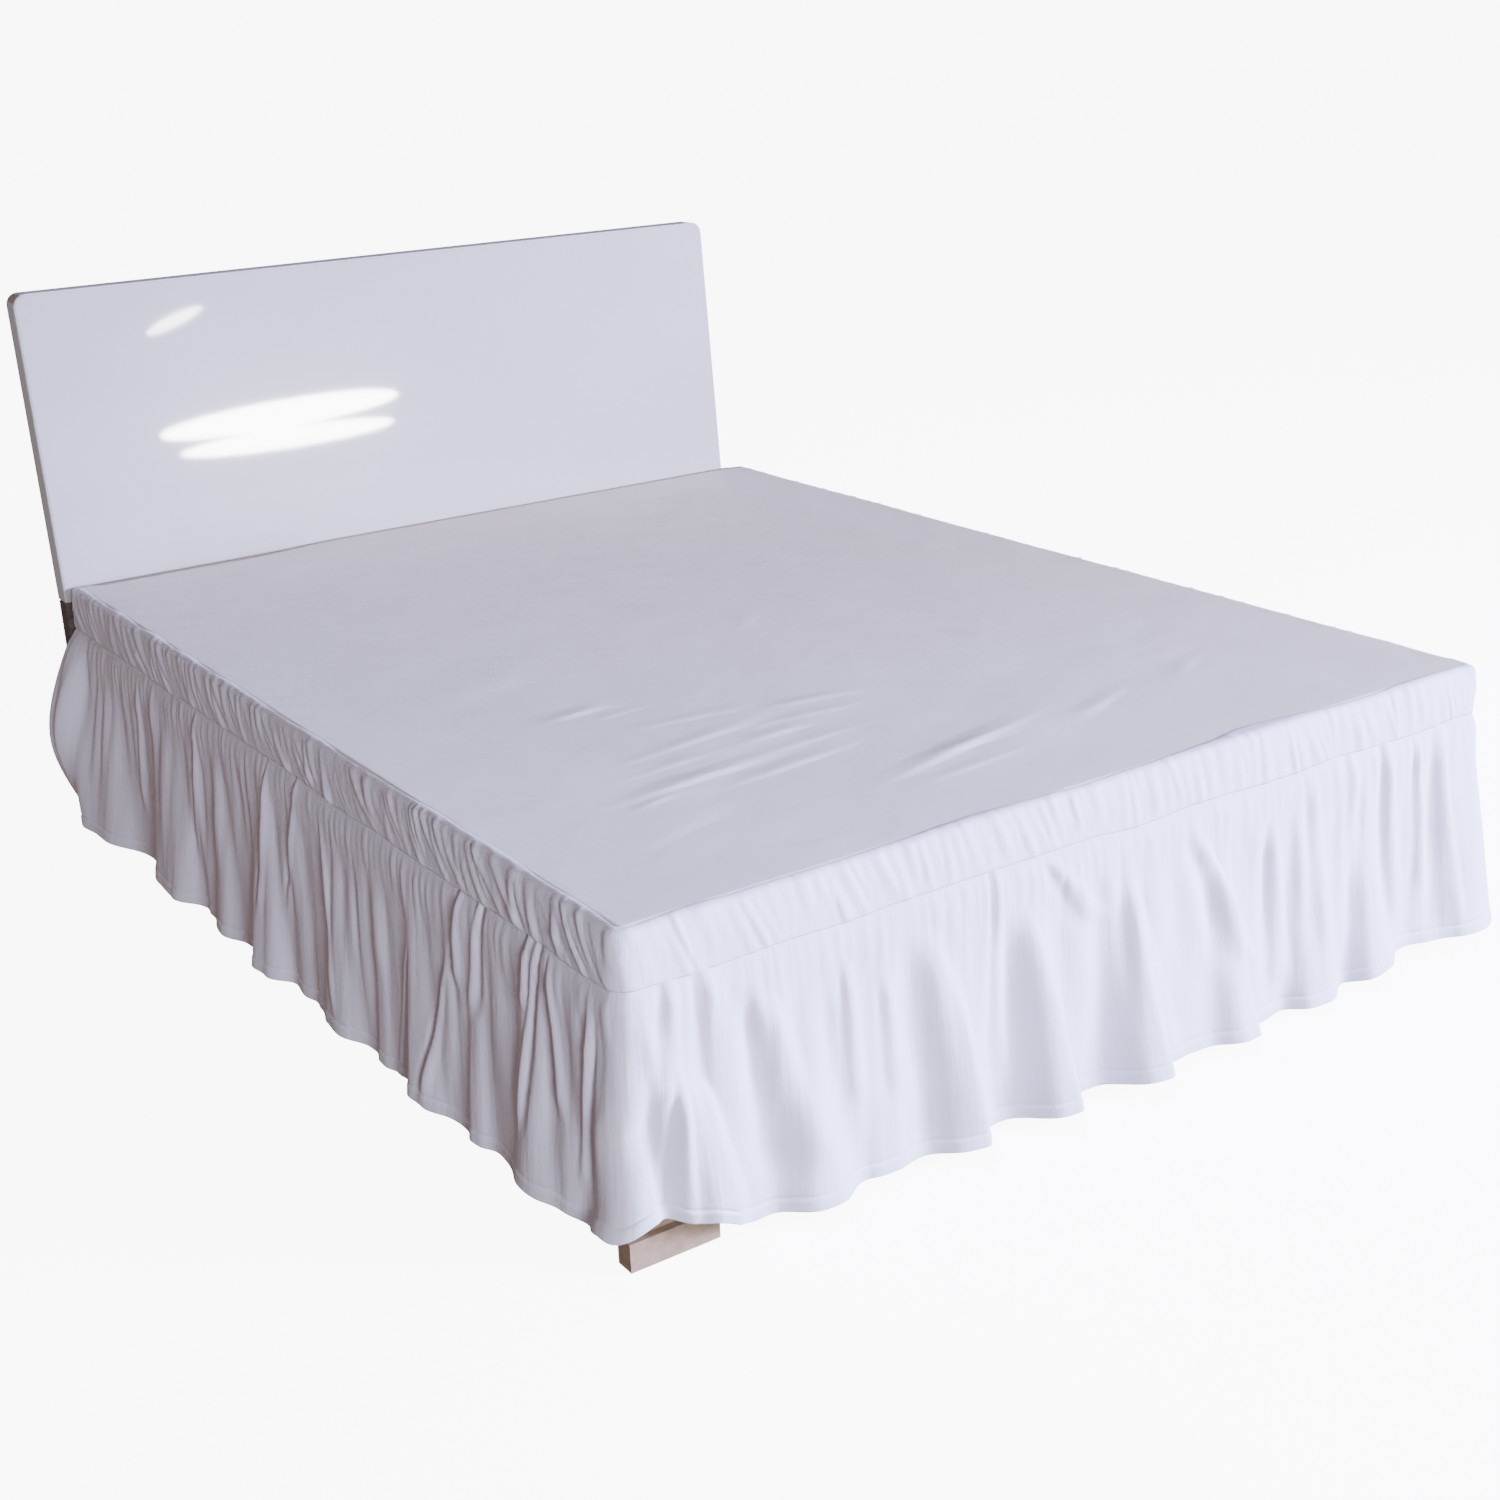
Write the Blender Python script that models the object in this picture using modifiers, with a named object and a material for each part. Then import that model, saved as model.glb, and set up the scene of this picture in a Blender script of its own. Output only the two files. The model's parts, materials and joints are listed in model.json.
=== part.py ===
"""Bed skirt on a bed: a deck panel, a shirred heading band and a gathered ruffle.

Metres, +Z up. The origin is on the floor under the middle of the bed. +X is the
bed's right side for someone who stands at its foot, and +Y points to the headboard.
"""

import math
from collections import namedtuple

import bmesh
import bpy

# Size of the skirt, which is made for a bed of 1.5 by 2.0 m and drops 0.45 m
SKIRT_WIDTH = 1.530
SKIRT_LENGTH = 2.000
DECK_TOP = 0.450
HEAD_END = 0.988
CORNER_RADIUS = 0.020
CLOTH = 0.002
TOUCH_GAP = 0.0003

# Where the cloth turns over the deck's edge and where the pieces are sewn
ROLL_RADIUS = 0.012
DECK_SEAM = 0.012
BAND_FOOT = 0.372
BAND_PROUD = 0.009
EDGE_PUFF = 0.005
PUFF_TURN = 0.008
PUFF_REACH = 0.014
STRIP_INSET = 0.018
SEAM_GAP = 0.0004
PANEL_GAP = 0.0004

# How the ruffle hangs
HANG_OUT = 0.012
FLANK_AT_TOP = 0.45

# Mesh steps
RUFFLE_STEP = 0.014
RUFFLE_ROWS = 6
BAND_STEP = 0.045
BAND_ROWS = 3
DECK_COLUMNS = 12
DECK_STEP = 0.090
CREASE_STEP = 0.024
CREASED_ZONE = (-0.900, -0.380)
STRIP_RINGS = 3
CORNER_STEPS = 4
ARC_COLUMNS = 4

# Bed base
BOARD = 0.018
BOARD_INSET = 0.008
PLATFORM_INSET = 0.004
PLATFORM_EDGE = 0.012
BASE_HEAD = 0.990
BLOCK_HEIGHT = 0.040

# Headboard
PANEL_LEFT = -0.781
PANEL_RIGHT = 0.716
PANEL_FOOT = 0.420
PANEL_TOP = 0.990
PANEL_THICK = 0.050
PANEL_FRONT = 1.000
PANEL_LEAN = math.radians(4.5)
PANEL_CORNER = 0.022
PANEL_EDGE = 0.004
LEG_OUTER = 0.784
LEG_WIDTH = 0.060
LEG_DEPTH = 0.040

# Colours, roughness and metallic value of each material
FINISHES = {
    "cotton": ((0.80, 0.80, 0.88), 0.85, 0.0),
    "bed_wood": ((0.64, 0.56, 0.54), 0.60, 0.0),
    "white_gloss": ((0.72, 0.71, 0.76), 0.12, 0.0),
    "dark_wood": ((0.10, 0.08, 0.07), 0.50, 0.0),
}

# A fold of the ruffle: place is x on the foot and y on a side, at the hem.
# before and after are its flanks along the run from the left side's head end.
# reach is the share of the drop that it takes up, and lean how far its crest
# has moved along the run from the seam to the hem. belly is out at mid height.
Fold = namedtuple("Fold", "side place depth before after reach lean belly")
FOLDS = [
    Fold("left", 0.970, 0.014, 0.300, 0.160, 1.00, 0.00, 0.058),
    Fold("left", 0.850, 0.050, 0.150, 0.220, 0.95, 0.00, 0.000),
    Fold("left", 0.495, 0.034, 0.180, 0.160, 0.90, 0.01, 0.000),
    Fold("left", 0.265, 0.022, 0.090, 0.100, 0.70, 0.00, 0.000),
    Fold("left", 0.055, 0.030, 0.130, 0.080, 0.95, 0.00, 0.000),
    Fold("left", -0.193, 0.020, 0.090, 0.110, 0.80, 0.00, 0.000),
    Fold("left", -0.345, 0.010, 0.050, 0.050, 0.75, 0.00, 0.000),
    Fold("left", -0.479, 0.022, 0.080, 0.090, 0.85, 0.01, 0.000),
    Fold("left", -0.640, 0.012, 0.050, 0.050, 0.95, 0.00, 0.000),
    Fold("left", -0.797, 0.020, 0.090, 0.090, 0.80, 0.00, 0.000),
    Fold("left", -0.975, 0.018, 0.070, 0.070, 0.80, 0.00, 0.000),
    Fold("foot", -0.655, 0.018, 0.070, 0.050, 0.40, 0.02, 0.000),
    Fold("foot", -0.512, 0.032, 0.085, 0.095, 0.80, 0.02, 0.000),
    Fold("foot", -0.400, 0.008, 0.050, 0.050, 0.80, 0.00, 0.000),
    Fold("foot", -0.272, 0.040, 0.095, 0.050, 0.85, 0.03, 0.000),
    Fold("foot", -0.116, 0.042, 0.095, 0.050, 0.85, 0.03, 0.000),
    Fold("foot", 0.037, 0.046, 0.090, 0.060, 0.80, 0.02, 0.000),
    Fold("foot", 0.105, 0.020, 0.330, 0.330, 0.90, 0.00, 0.000),
    Fold("foot", 0.231, 0.036, 0.085, 0.050, 0.80, 0.03, 0.000),
    Fold("foot", 0.390, 0.034, 0.075, 0.100, 0.80, 0.02, 0.000),
    Fold("foot", 0.520, 0.034, 0.075, 0.090, 0.60, 0.00, 0.000),
    Fold("foot", 0.765, 0.037, 0.150, 0.110, 0.95, 0.03, 0.000),
    Fold("right", -0.860, 0.028, 0.070, 0.080, 0.85, 0.00, 0.000),
    Fold("right", -0.690, 0.020, 0.070, 0.070, 0.80, 0.00, 0.000),
    Fold("right", -0.480, 0.032, 0.110, 0.080, 0.90, -0.01, 0.000),
    Fold("right", -0.270, 0.018, 0.080, 0.090, 0.75, 0.00, 0.000),
    Fold("right", -0.060, 0.030, 0.090, 0.110, 0.90, 0.01, 0.000),
    Fold("right", 0.130, 0.014, 0.060, 0.060, 0.80, 0.00, 0.000),
    Fold("right", 0.300, 0.028, 0.100, 0.090, 0.85, -0.01, 0.000),
    Fold("right", 0.510, 0.022, 0.100, 0.100, 0.80, 0.00, 0.000),
    Fold("right", 0.700, 0.016, 0.060, 0.070, 0.75, 0.00, 0.000),
    Fold("right", 0.890, 0.026, 0.110, 0.120, 0.90, 0.00, 0.012),
]

# Height of the hem over the floor, before a fold lifts it
HemPlace = namedtuple("HemPlace", "side place height")
HEM = [
    HemPlace("left", 0.993, 0.012),
    HemPlace("left", 0.500, 0.006),
    HemPlace("left", 0.000, 0.010),
    HemPlace("left", -0.500, 0.014),
    HemPlace("left", -0.900, 0.028),
    HemPlace("left", -0.985, 0.042),
    HemPlace("foot", -0.745, 0.046),
    HemPlace("foot", -0.615, 0.012),
    HemPlace("foot", -0.515, 0.014),
    HemPlace("foot", 0.065, 0.014),
    HemPlace("foot", 0.405, 0.009),
    HemPlace("foot", 0.605, 0.028),
    HemPlace("foot", 0.725, 0.026),
    HemPlace("right", -0.500, 0.014),
    HemPlace("right", 0.200, 0.012),
    HemPlace("right", 0.993, 0.014),
]

# Low blocks under the base: their corner nearest to the foot's left, and their size
Block = namedtuple("Block", "name x y width depth")
BLOCKS = [
    Block("foot_near_left", -0.777, -1.004, 0.130, 0.030),
    Block("foot_near_right", 0.627, -0.960, 0.130, 0.030),
    Block("foot_far_left", -0.740, 0.850, 0.130, 0.130),
    Block("foot_far_right", 0.610, 0.850, 0.130, 0.130),
    Block("foot_centre", -0.045, -0.045, 0.090, 0.090),
]

# Creases of the deck panel: from one end to the other, height and half width
Crease = namedtuple("Crease", "x0 y0 x1 y1 height half_width")
CREASES = [
    Crease(-0.575, -0.675, -0.265, -0.615, 0.0035, 0.030),
    Crease(-0.265, -0.850, 0.115, -0.775, 0.0035, 0.030),
    Crease(-0.515, -0.535, -0.095, -0.545, 0.0025, 0.030),
    Crease(-0.315, -0.460, 0.035, -0.480, 0.0025, 0.030),
    Crease(-0.455, -0.310, -0.325, -0.235, 0.0030, 0.045),
    Crease(0.135, -0.810, 0.285, -0.740, 0.0025, 0.030),
]

# Runs along the deck's edge, from the left side's head end round to the right's
SIDE_RUN = HEAD_END + SKIRT_LENGTH / 2 - CORNER_RADIUS
ARC_RUN = math.pi / 2 * CORNER_RADIUS
FOOT_RUN = SKIRT_WIDTH - 2 * CORNER_RADIUS
LEFT_JOIN = SIDE_RUN + ARC_RUN / 2
RIGHT_JOIN = SIDE_RUN + 1.5 * ARC_RUN + FOOT_RUN
WHOLE_RUN = 2 * SIDE_RUN + 2 * ARC_RUN + FOOT_RUN

SHEET_LINE = CLOTH / 2
SHEET_TOP = DECK_TOP - CLOTH / 2
PLATFORM_TOP = DECK_TOP - CLOTH - TOUCH_GAP
BOARD_TOP = PLATFORM_TOP - BOARD - TOUCH_GAP
BOARD_FOOT = BLOCK_HEIGHT + TOUCH_GAP


def clear_scene():
    """Removes whatever the file holds, and leaves the file open."""
    for thing in list(bpy.data.objects):
        bpy.data.objects.remove(thing, do_unlink=True)


def run_of(side, place):
    """The run of a place on a side: x on the foot, y on the left and right."""
    if side == "left":
        return HEAD_END - place
    if side == "foot":
        return SIDE_RUN + ARC_RUN + place + SKIRT_WIDTH / 2 - CORNER_RADIUS
    return SIDE_RUN + 2 * ARC_RUN + FOOT_RUN + place + SKIRT_LENGTH / 2 - CORNER_RADIUS


def edge_at(run):
    """The point of the skirt's plan line at a run, and its outward direction."""
    half_width = SKIRT_WIDTH / 2
    half_length = SKIRT_LENGTH / 2
    if run <= SIDE_RUN:
        return (-half_width, HEAD_END - run), (-1.0, 0.0)
    run -= SIDE_RUN
    if run <= ARC_RUN:
        return corner_point(-1, math.pi + run / CORNER_RADIUS)
    run -= ARC_RUN
    if run <= FOOT_RUN:
        return (-half_width + CORNER_RADIUS + run, -half_length), (0.0, -1.0)
    run -= FOOT_RUN
    if run <= ARC_RUN:
        return corner_point(1, 1.5 * math.pi + run / CORNER_RADIUS)
    run -= ARC_RUN
    return (half_width, -half_length + CORNER_RADIUS + run), (1.0, 0.0)


def corner_point(hand, angle):
    """The point of a foot corner's arc, hand -1 on the left and 1 on the right."""
    centre_x = hand * (SKIRT_WIDTH / 2 - CORNER_RADIUS)
    centre_y = -SKIRT_LENGTH / 2 + CORNER_RADIUS
    out = (math.cos(angle), math.sin(angle))
    return (centre_x + CORNER_RADIUS * out[0], centre_y + CORNER_RADIUS * out[1]), out


def run_near(x, y):
    """The run of the edge point nearest to a point of the deck's inner outline."""
    corner_y = -SKIRT_LENGTH / 2 + CORNER_RADIUS
    corner_x = SKIRT_WIDTH / 2 - CORNER_RADIUS
    if y >= corner_y:
        return HEAD_END - y if x < 0 else WHOLE_RUN - (HEAD_END - y)
    if abs(x) <= corner_x:
        return SIDE_RUN + ARC_RUN + x + corner_x
    angle = math.atan2(corner_y - y, abs(x) - corner_x)
    if x < 0:
        return SIDE_RUN + angle * CORNER_RADIUS
    return WHOLE_RUN - SIDE_RUN - angle * CORNER_RADIUS


def ridge(distance, before, after):
    """A soft ridge: 1 on its crest and 0 at the end of each flank."""
    flank = before if distance < 0 else after
    share = min(abs(distance) / flank, 1.0)
    return 0.5 * (1 + math.cos(math.pi * share))


def eased(share):
    """0 to 1 with no corner at either end."""
    share = min(max(share, 0.0), 1.0)
    return share * share * (3 - 2 * share)


def hem_height(run):
    """The height of the hem at a run, from the table's rows."""
    rows = [(run_of(row.side, row.place), row.height) for row in HEM]
    if run <= rows[0][0]:
        return rows[0][1]
    for (start, low), (end, high) in zip(rows, rows[1:]):
        if run <= end:
            return low + (high - low) * eased((run - start) / (end - start))
    return rows[-1][1]


def stands_out(run, fall):
    """How far the ruffle hangs out, fall being 0 at the seam and 1 at the hem."""
    out = BAND_PROUD + HANG_OUT * fall
    for fold in FOLDS:
        grown = max(0.0, (fall - 1 + fold.reach) / fold.reach)
        spread = FLANK_AT_TOP + (1 - FLANK_AT_TOP) * grown
        crest = run_of(fold.side, fold.place) + fold.lean * (fall - 1)
        shape = ridge(run - crest, fold.before * spread, fold.after * spread)
        depth = fold.depth * grown**1.2 + fold.belly * math.sin(math.pi * fall)
        out += depth * shape
    return out


def ruffle_point(run, fall):
    """A point of the ruffle's middle surface."""
    (x, y), (across, along) = edge_at(run)
    out = stands_out(run, fall)
    seam = BAND_FOOT - SEAM_GAP
    hem = hem_height(run)
    lift = (stands_out(run, 1.0) - BAND_PROUD) ** 2 / (2 * (seam - hem))
    height = seam + (hem + lift - seam) * fall
    reach = out - SHEET_LINE
    return x + across * reach, y + along * reach, height


def over_edge(run, turn):
    """A point of the cloth at a length turn past the start of the deck's roll."""
    (x, y), (across, along) = edge_at(run)
    quarter = math.pi / 2 * ROLL_RADIUS
    angle = min(max(turn, 0.0), quarter) / ROLL_RADIUS
    reach = -ROLL_RADIUS + ROLL_RADIUS * math.sin(angle) + min(turn, 0.0) - SHEET_LINE
    height = SHEET_TOP - ROLL_RADIUS * (1 - math.cos(angle)) - max(turn - quarter, 0.0)
    height += EDGE_PUFF * ridge(turn - PUFF_TURN, PUFF_REACH, PUFF_REACH)
    return x + across * reach, y + along * reach, height


def band_point(run, fall):
    """A point of the heading band, fall being 0 at the deck's seam and 1 at its foot."""
    quarter = math.pi / 2 * ROLL_RADIUS
    last = quarter + SHEET_TOP - ROLL_RADIUS - BAND_FOOT - SEAM_GAP
    first = DECK_SEAM + SEAM_GAP
    x, y, height = over_edge(run, first + (last - first) * fall)
    across, along = edge_at(run)[1]
    bulge = BAND_PROUD * math.sin(math.pi / 2 * min(fall * 1.5, 1.0))
    return x + across * bulge, y + along * bulge, height


def crease_height(x, y):
    """How high the creases lift the deck panel at a point."""
    height = 0.0
    for crease in CREASES:
        along_x = crease.x1 - crease.x0
        along_y = crease.y1 - crease.y0
        length = math.hypot(along_x, along_y)
        share = ((x - crease.x0) * along_x + (y - crease.y0) * along_y) / length**2
        aside = ((x - crease.x0) * along_y - (y - crease.y0) * along_x) / length
        ends = ridge(2 * share - 1, 1.25, 1.25)
        height += crease.height * ends * ridge(aside, crease.half_width, crease.half_width)
    return height


def new_object(name, mesh_tool, finish, collection):
    """Turns a bmesh into a smooth shaded object with its finish."""
    mesh = bpy.data.meshes.new(name)
    mesh_tool.to_mesh(mesh)
    mesh_tool.free()
    mesh.materials.append(finish)
    mesh.shade_smooth()
    made = bpy.data.objects.new(name, mesh)
    collection.objects.link(made)
    return made


def thicken(sheet):
    """Gives an open sheet the cloth's thickness, half to each side."""
    wall = sheet.modifiers.new("thickness", "SOLIDIFY")
    wall.thickness = CLOTH
    wall.offset = 0.0
    wall.use_even_offset = False


def columns_between(start, end, step):
    """The runs of a sheet's columns, close together round the corners."""
    arcs = (SIDE_RUN, SIDE_RUN + ARC_RUN, WHOLE_RUN - SIDE_RUN - ARC_RUN, WHOLE_RUN - SIDE_RUN)
    marks = [start, *(mark for mark in arcs if start < mark < end), end]
    columns = []
    for low, high in zip(marks, marks[1:]):
        on_arc = high - low < ARC_RUN
        count = ARC_COLUMNS if on_arc else round((high - low) / step)
        columns += [low + (high - low) * index / count for index in range(count)]
    return columns + [end]


def hung_sheet(name, columns, rows, place, finish, collection):
    """A sheet with a column at each run, and place(run, fall) as its surface."""
    last = len(columns) - 1
    tool = bmesh.new()
    bmesh.ops.create_grid(tool, x_segments=last, y_segments=rows, size=0.5)
    for vert in tool.verts:
        vert.co = place(columns[round((vert.co.x + 0.5) * last)], 0.5 - vert.co.y)
    thicken(new_object(name, tool, finish, collection))


def deck_rows():
    """The y of each row of the deck's inner grid, close together at the creases."""
    inner_foot = -SKIRT_LENGTH / 2 + STRIP_INSET
    inner_radius = CORNER_RADIUS - STRIP_INSET
    turns = [math.pi / 2 * step / CORNER_STEPS for step in range(CORNER_STEPS)]
    rows = [inner_foot + inner_radius * (1 - math.cos(turn)) for turn in turns]
    marks = [inner_foot + inner_radius, *CREASED_ZONE, HEAD_END]
    steps = [CREASE_STEP * 2, CREASE_STEP, DECK_STEP]
    for low, high, step in zip(marks, marks[1:], steps):
        count = round((high - low) / step)
        rows += [low + (high - low) * index / count for index in range(count)]
    return rows + [HEAD_END]


def deck_half_width(y):
    """Half the width of the deck's inner grid in a row."""
    inner_radius = CORNER_RADIUS - STRIP_INSET
    half = SKIRT_WIDTH / 2 - STRIP_INSET
    below = -SKIRT_LENGTH / 2 + CORNER_RADIUS - y
    if below <= 0:
        return half
    return half - inner_radius + math.sqrt(max(inner_radius**2 - below**2, 0.0))


def source_run(vert, runs):
    """The run of the rim point that a point was extruded from, which lies on it."""
    near = [edge.other_vert(vert) for edge in vert.link_edges]
    return next(runs[other] for other in near if other in runs)


def build_deck(finish, collection):
    """The deck panel: a grid on the platform, and its rim turned over the edge."""
    rows = deck_rows()
    tool = bmesh.new()
    bmesh.ops.create_grid(tool, x_segments=DECK_COLUMNS, y_segments=len(rows) - 1, size=0.5)
    for vert in tool.verts:
        y = rows[round((vert.co.y + 0.5) * (len(rows) - 1))]
        x = 2 * vert.co.x * deck_half_width(y)
        vert.co = (x, y, SHEET_TOP + crease_height(x, y))
    rim = [edge for edge in tool.edges if edge.is_boundary]
    rim = [edge for edge in rim if min(vert.co.y for vert in edge.verts) < HEAD_END - 1e-5]
    runs = {vert: run_near(vert.co.x, vert.co.y) for edge in rim for vert in edge.verts}
    flat_turn = ROLL_RADIUS - STRIP_INSET
    for ring in range(1, STRIP_RINGS + 1):
        grown = bmesh.ops.extrude_edge_only(tool, edges=rim)["geom"]
        verts = [item for item in grown if isinstance(item, bmesh.types.BMVert)]
        runs = {vert: source_run(vert, runs) for vert in verts}
        for vert, run in runs.items():
            turn = flat_turn + (DECK_SEAM - SEAM_GAP - flat_turn) * ring / STRIP_RINGS
            vert.co = over_edge(run, turn)
        rim = [item for item in grown if isinstance(item, bmesh.types.BMEdge)]
    thicken(new_object("deck", tool, finish, collection))


def box(name, low, high, finish, collection):
    """A board or block between two opposite corners."""
    tool = bmesh.new()
    bmesh.ops.create_cube(tool, size=1.0)
    size = [top - bottom for bottom, top in zip(low, high)]
    middle = [(bottom + top) / 2 for bottom, top in zip(low, high)]
    bmesh.ops.scale(tool, vec=size, verts=tool.verts)
    made = new_object(name, tool, finish, collection)
    made.data.shade_flat()
    made.location = middle
    return made


def build_base(finish, collection):
    """The box of boards, the platform on it and the blocks under it."""
    side = SKIRT_WIDTH / 2 - BOARD_INSET
    foot = -SKIRT_LENGTH / 2 + BOARD_INSET
    head = BASE_HEAD
    inner = side - BOARD - TOUCH_GAP
    rail_start = foot + BOARD + TOUCH_GAP
    rail_end = head - BOARD - TOUCH_GAP
    for hand, word in ((-1, "left"), (1, "right")):
        outer, face = sorted((hand * side, hand * (side - BOARD)))
        low, high = (outer, foot, BOARD_FOOT), (face, head, BOARD_TOP)
        box(f"side_board_{word}", low, high, finish, collection)
    box("foot_board", (-inner, foot, BOARD_FOOT), (inner, foot + BOARD, BOARD_TOP), finish, collection)
    box("head_board", (-inner, head - BOARD, BOARD_FOOT), (inner, head, BOARD_TOP), finish, collection)
    low, high = (-BOARD, rail_start, BOARD_FOOT), (BOARD, rail_end, BOARD_TOP)
    box("centre_rail", low, high, finish, collection)
    build_platform(finish, collection)
    build_blocks(finish, collection)


def build_platform(finish, collection):
    """The board under the deck panel, its foot corners and upper edge rounded."""
    half = SKIRT_WIDTH / 2 - PLATFORM_INSET
    low = (-half, -SKIRT_LENGTH / 2 + PLATFORM_INSET, PLATFORM_TOP - BOARD)
    high = (half, BASE_HEAD, PLATFORM_TOP)
    board = box("platform", low, high, finish, collection)
    tool = bmesh.new()
    tool.from_mesh(board.data)
    uprights = [edge for edge in tool.edges if all(vert.co.y < 0 for vert in edge.verts)]
    uprights = [edge for edge in uprights if edge.verts[0].co.x == edge.verts[1].co.x]
    round_edges(tool, uprights, CORNER_RADIUS - PLATFORM_INSET, 6)
    top = [edge for edge in tool.edges if all(vert.co.z > 0 for vert in edge.verts)]
    head = board.dimensions.y / 2 - 1e-5
    top = [edge for edge in top if any(vert.co.y < head for vert in edge.verts)]
    top = [edge for edge in top if len(edge.link_faces) == 2]
    round_edges(tool, top, PLATFORM_EDGE, 3)
    tool.to_mesh(board.data)
    tool.free()


def round_edges(tool, edges, radius, segments):
    """Rounds the edges of a mesh that is being worked on."""
    bmesh.ops.bevel(
        tool,
        geom=edges,
        offset=radius,
        offset_type="OFFSET",
        segments=segments,
        profile=0.5,
        affect="EDGES",
    )


def build_blocks(finish, collection):
    """The low blocks that the base stands on."""
    for block in BLOCKS:
        high = (block.x + block.width, block.y + block.depth, BLOCK_HEIGHT)
        box(block.name, (block.x, block.y, 0.0), high, finish, collection)


def lean_back(thing):
    """Shears an upright panel back, so that its foot stays level."""
    for vert in thing.data.vertices:
        height = thing.location.z + vert.co.z - DECK_TOP
        vert.co.y += height * math.tan(PANEL_LEAN)


def build_headboard(gloss, wood, collection):
    """The glossy panel that leans back, and the two legs under it."""
    low = (PANEL_LEFT, PANEL_FRONT, PANEL_FOOT)
    high = (PANEL_RIGHT, PANEL_FRONT + PANEL_THICK, PANEL_TOP)
    panel = box("headboard", low, high, gloss, collection)
    tool = bmesh.new()
    tool.from_mesh(panel.data)
    corners = [edge for edge in tool.edges if all(vert.co.z > 0 for vert in edge.verts)]
    corners = [edge for edge in corners if edge.verts[0].co.x == edge.verts[1].co.x]
    round_edges(tool, corners, PANEL_CORNER, 5)
    sharp = [edge for edge in tool.edges if edge.calc_face_angle() > math.radians(60)]
    sharp = [edge for edge in sharp if any(vert.co.z > -PANEL_TOP / 4 for vert in edge.verts)]
    round_edges(tool, sharp, PANEL_EDGE, 2)
    tool.to_mesh(panel.data)
    tool.free()
    lean_back(panel)
    panel.data.shade_smooth()
    panel.data.set_sharp_from_angle(angle=math.radians(35))
    leg_top = PANEL_FOOT - TOUCH_GAP
    front = BASE_HEAD + TOUCH_GAP
    for hand, word in ((-1, "left"), (1, "right")):
        inner, outer = sorted((hand * (LEG_OUTER - LEG_WIDTH), hand * LEG_OUTER))
        low, high = (inner, front, 0.0), (outer, front + LEG_DEPTH, leg_top)
        box(f"headboard_leg_{word}", low, high, wood, collection)


def make_finish(name):
    """A Principled material with its row of the finishes."""
    colour, roughness, metallic = FINISHES[name]
    finish = bpy.data.materials.new(name)
    finish.use_nodes = True
    shader = finish.node_tree.nodes["Principled BSDF"]
    shader.inputs["Base Color"].default_value = (*colour, 1.0)
    shader.inputs["Roughness"].default_value = roughness
    shader.inputs["Metallic"].default_value = metallic
    return finish


def build_skirt(cotton, collection):
    """The deck panel, and the three bands and three ruffles round it."""
    build_deck(cotton, collection)
    half_gap = PANEL_GAP / 2
    stretches = (
        ("left", 0.0, LEFT_JOIN - half_gap),
        ("foot", LEFT_JOIN + half_gap, RIGHT_JOIN - half_gap),
        ("right", RIGHT_JOIN + half_gap, WHOLE_RUN),
    )
    for side, start, end in stretches:
        wide = columns_between(start, end, BAND_STEP)
        close = columns_between(start, end, RUFFLE_STEP)
        hung_sheet(f"band_{side}", wide, BAND_ROWS, band_point, cotton, collection)
        hung_sheet(f"ruffle_{side}", close, RUFFLE_ROWS, ruffle_point, cotton, collection)


def main():
    clear_scene()
    collection = bpy.data.collections.new("bed_skirt_on_bed")
    bpy.context.scene.collection.children.link(collection)
    finishes = {name: make_finish(name) for name in FINISHES}
    build_skirt(finishes["cotton"], collection)
    build_base(finishes["bed_wood"], collection)
    build_headboard(finishes["white_gloss"], finishes["dark_wood"], collection)


main()
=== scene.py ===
"""Looks of a cotton bed skirt on a plain bed with a glossy headboard.

Metres, +Z up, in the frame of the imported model: the origin is on the floor under the
middle of the bed, +X is the bed's right seen from its foot, +Y points to the headboard.
"""

import json
import math
from collections import namedtuple

import bpy
import numpy as np
from mathutils import Matrix, Vector


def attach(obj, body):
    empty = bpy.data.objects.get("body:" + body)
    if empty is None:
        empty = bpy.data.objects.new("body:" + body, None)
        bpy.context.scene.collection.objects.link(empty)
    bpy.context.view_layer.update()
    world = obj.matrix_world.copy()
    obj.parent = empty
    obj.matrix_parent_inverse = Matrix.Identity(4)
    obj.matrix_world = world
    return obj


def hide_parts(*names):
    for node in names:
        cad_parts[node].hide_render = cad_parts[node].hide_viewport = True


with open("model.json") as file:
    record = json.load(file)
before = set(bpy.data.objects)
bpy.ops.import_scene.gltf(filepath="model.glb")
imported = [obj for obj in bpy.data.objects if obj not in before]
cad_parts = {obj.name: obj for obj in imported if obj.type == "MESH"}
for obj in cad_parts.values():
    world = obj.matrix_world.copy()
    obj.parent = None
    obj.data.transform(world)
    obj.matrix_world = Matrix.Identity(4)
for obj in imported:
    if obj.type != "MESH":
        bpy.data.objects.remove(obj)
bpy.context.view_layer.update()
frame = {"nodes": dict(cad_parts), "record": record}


def of_sides(kind, **sides):
    """Rows of one kind, from the rows of each side without the side's name."""
    return [kind(side, *row) for side, rows in sides.items() for row in rows]


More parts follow.
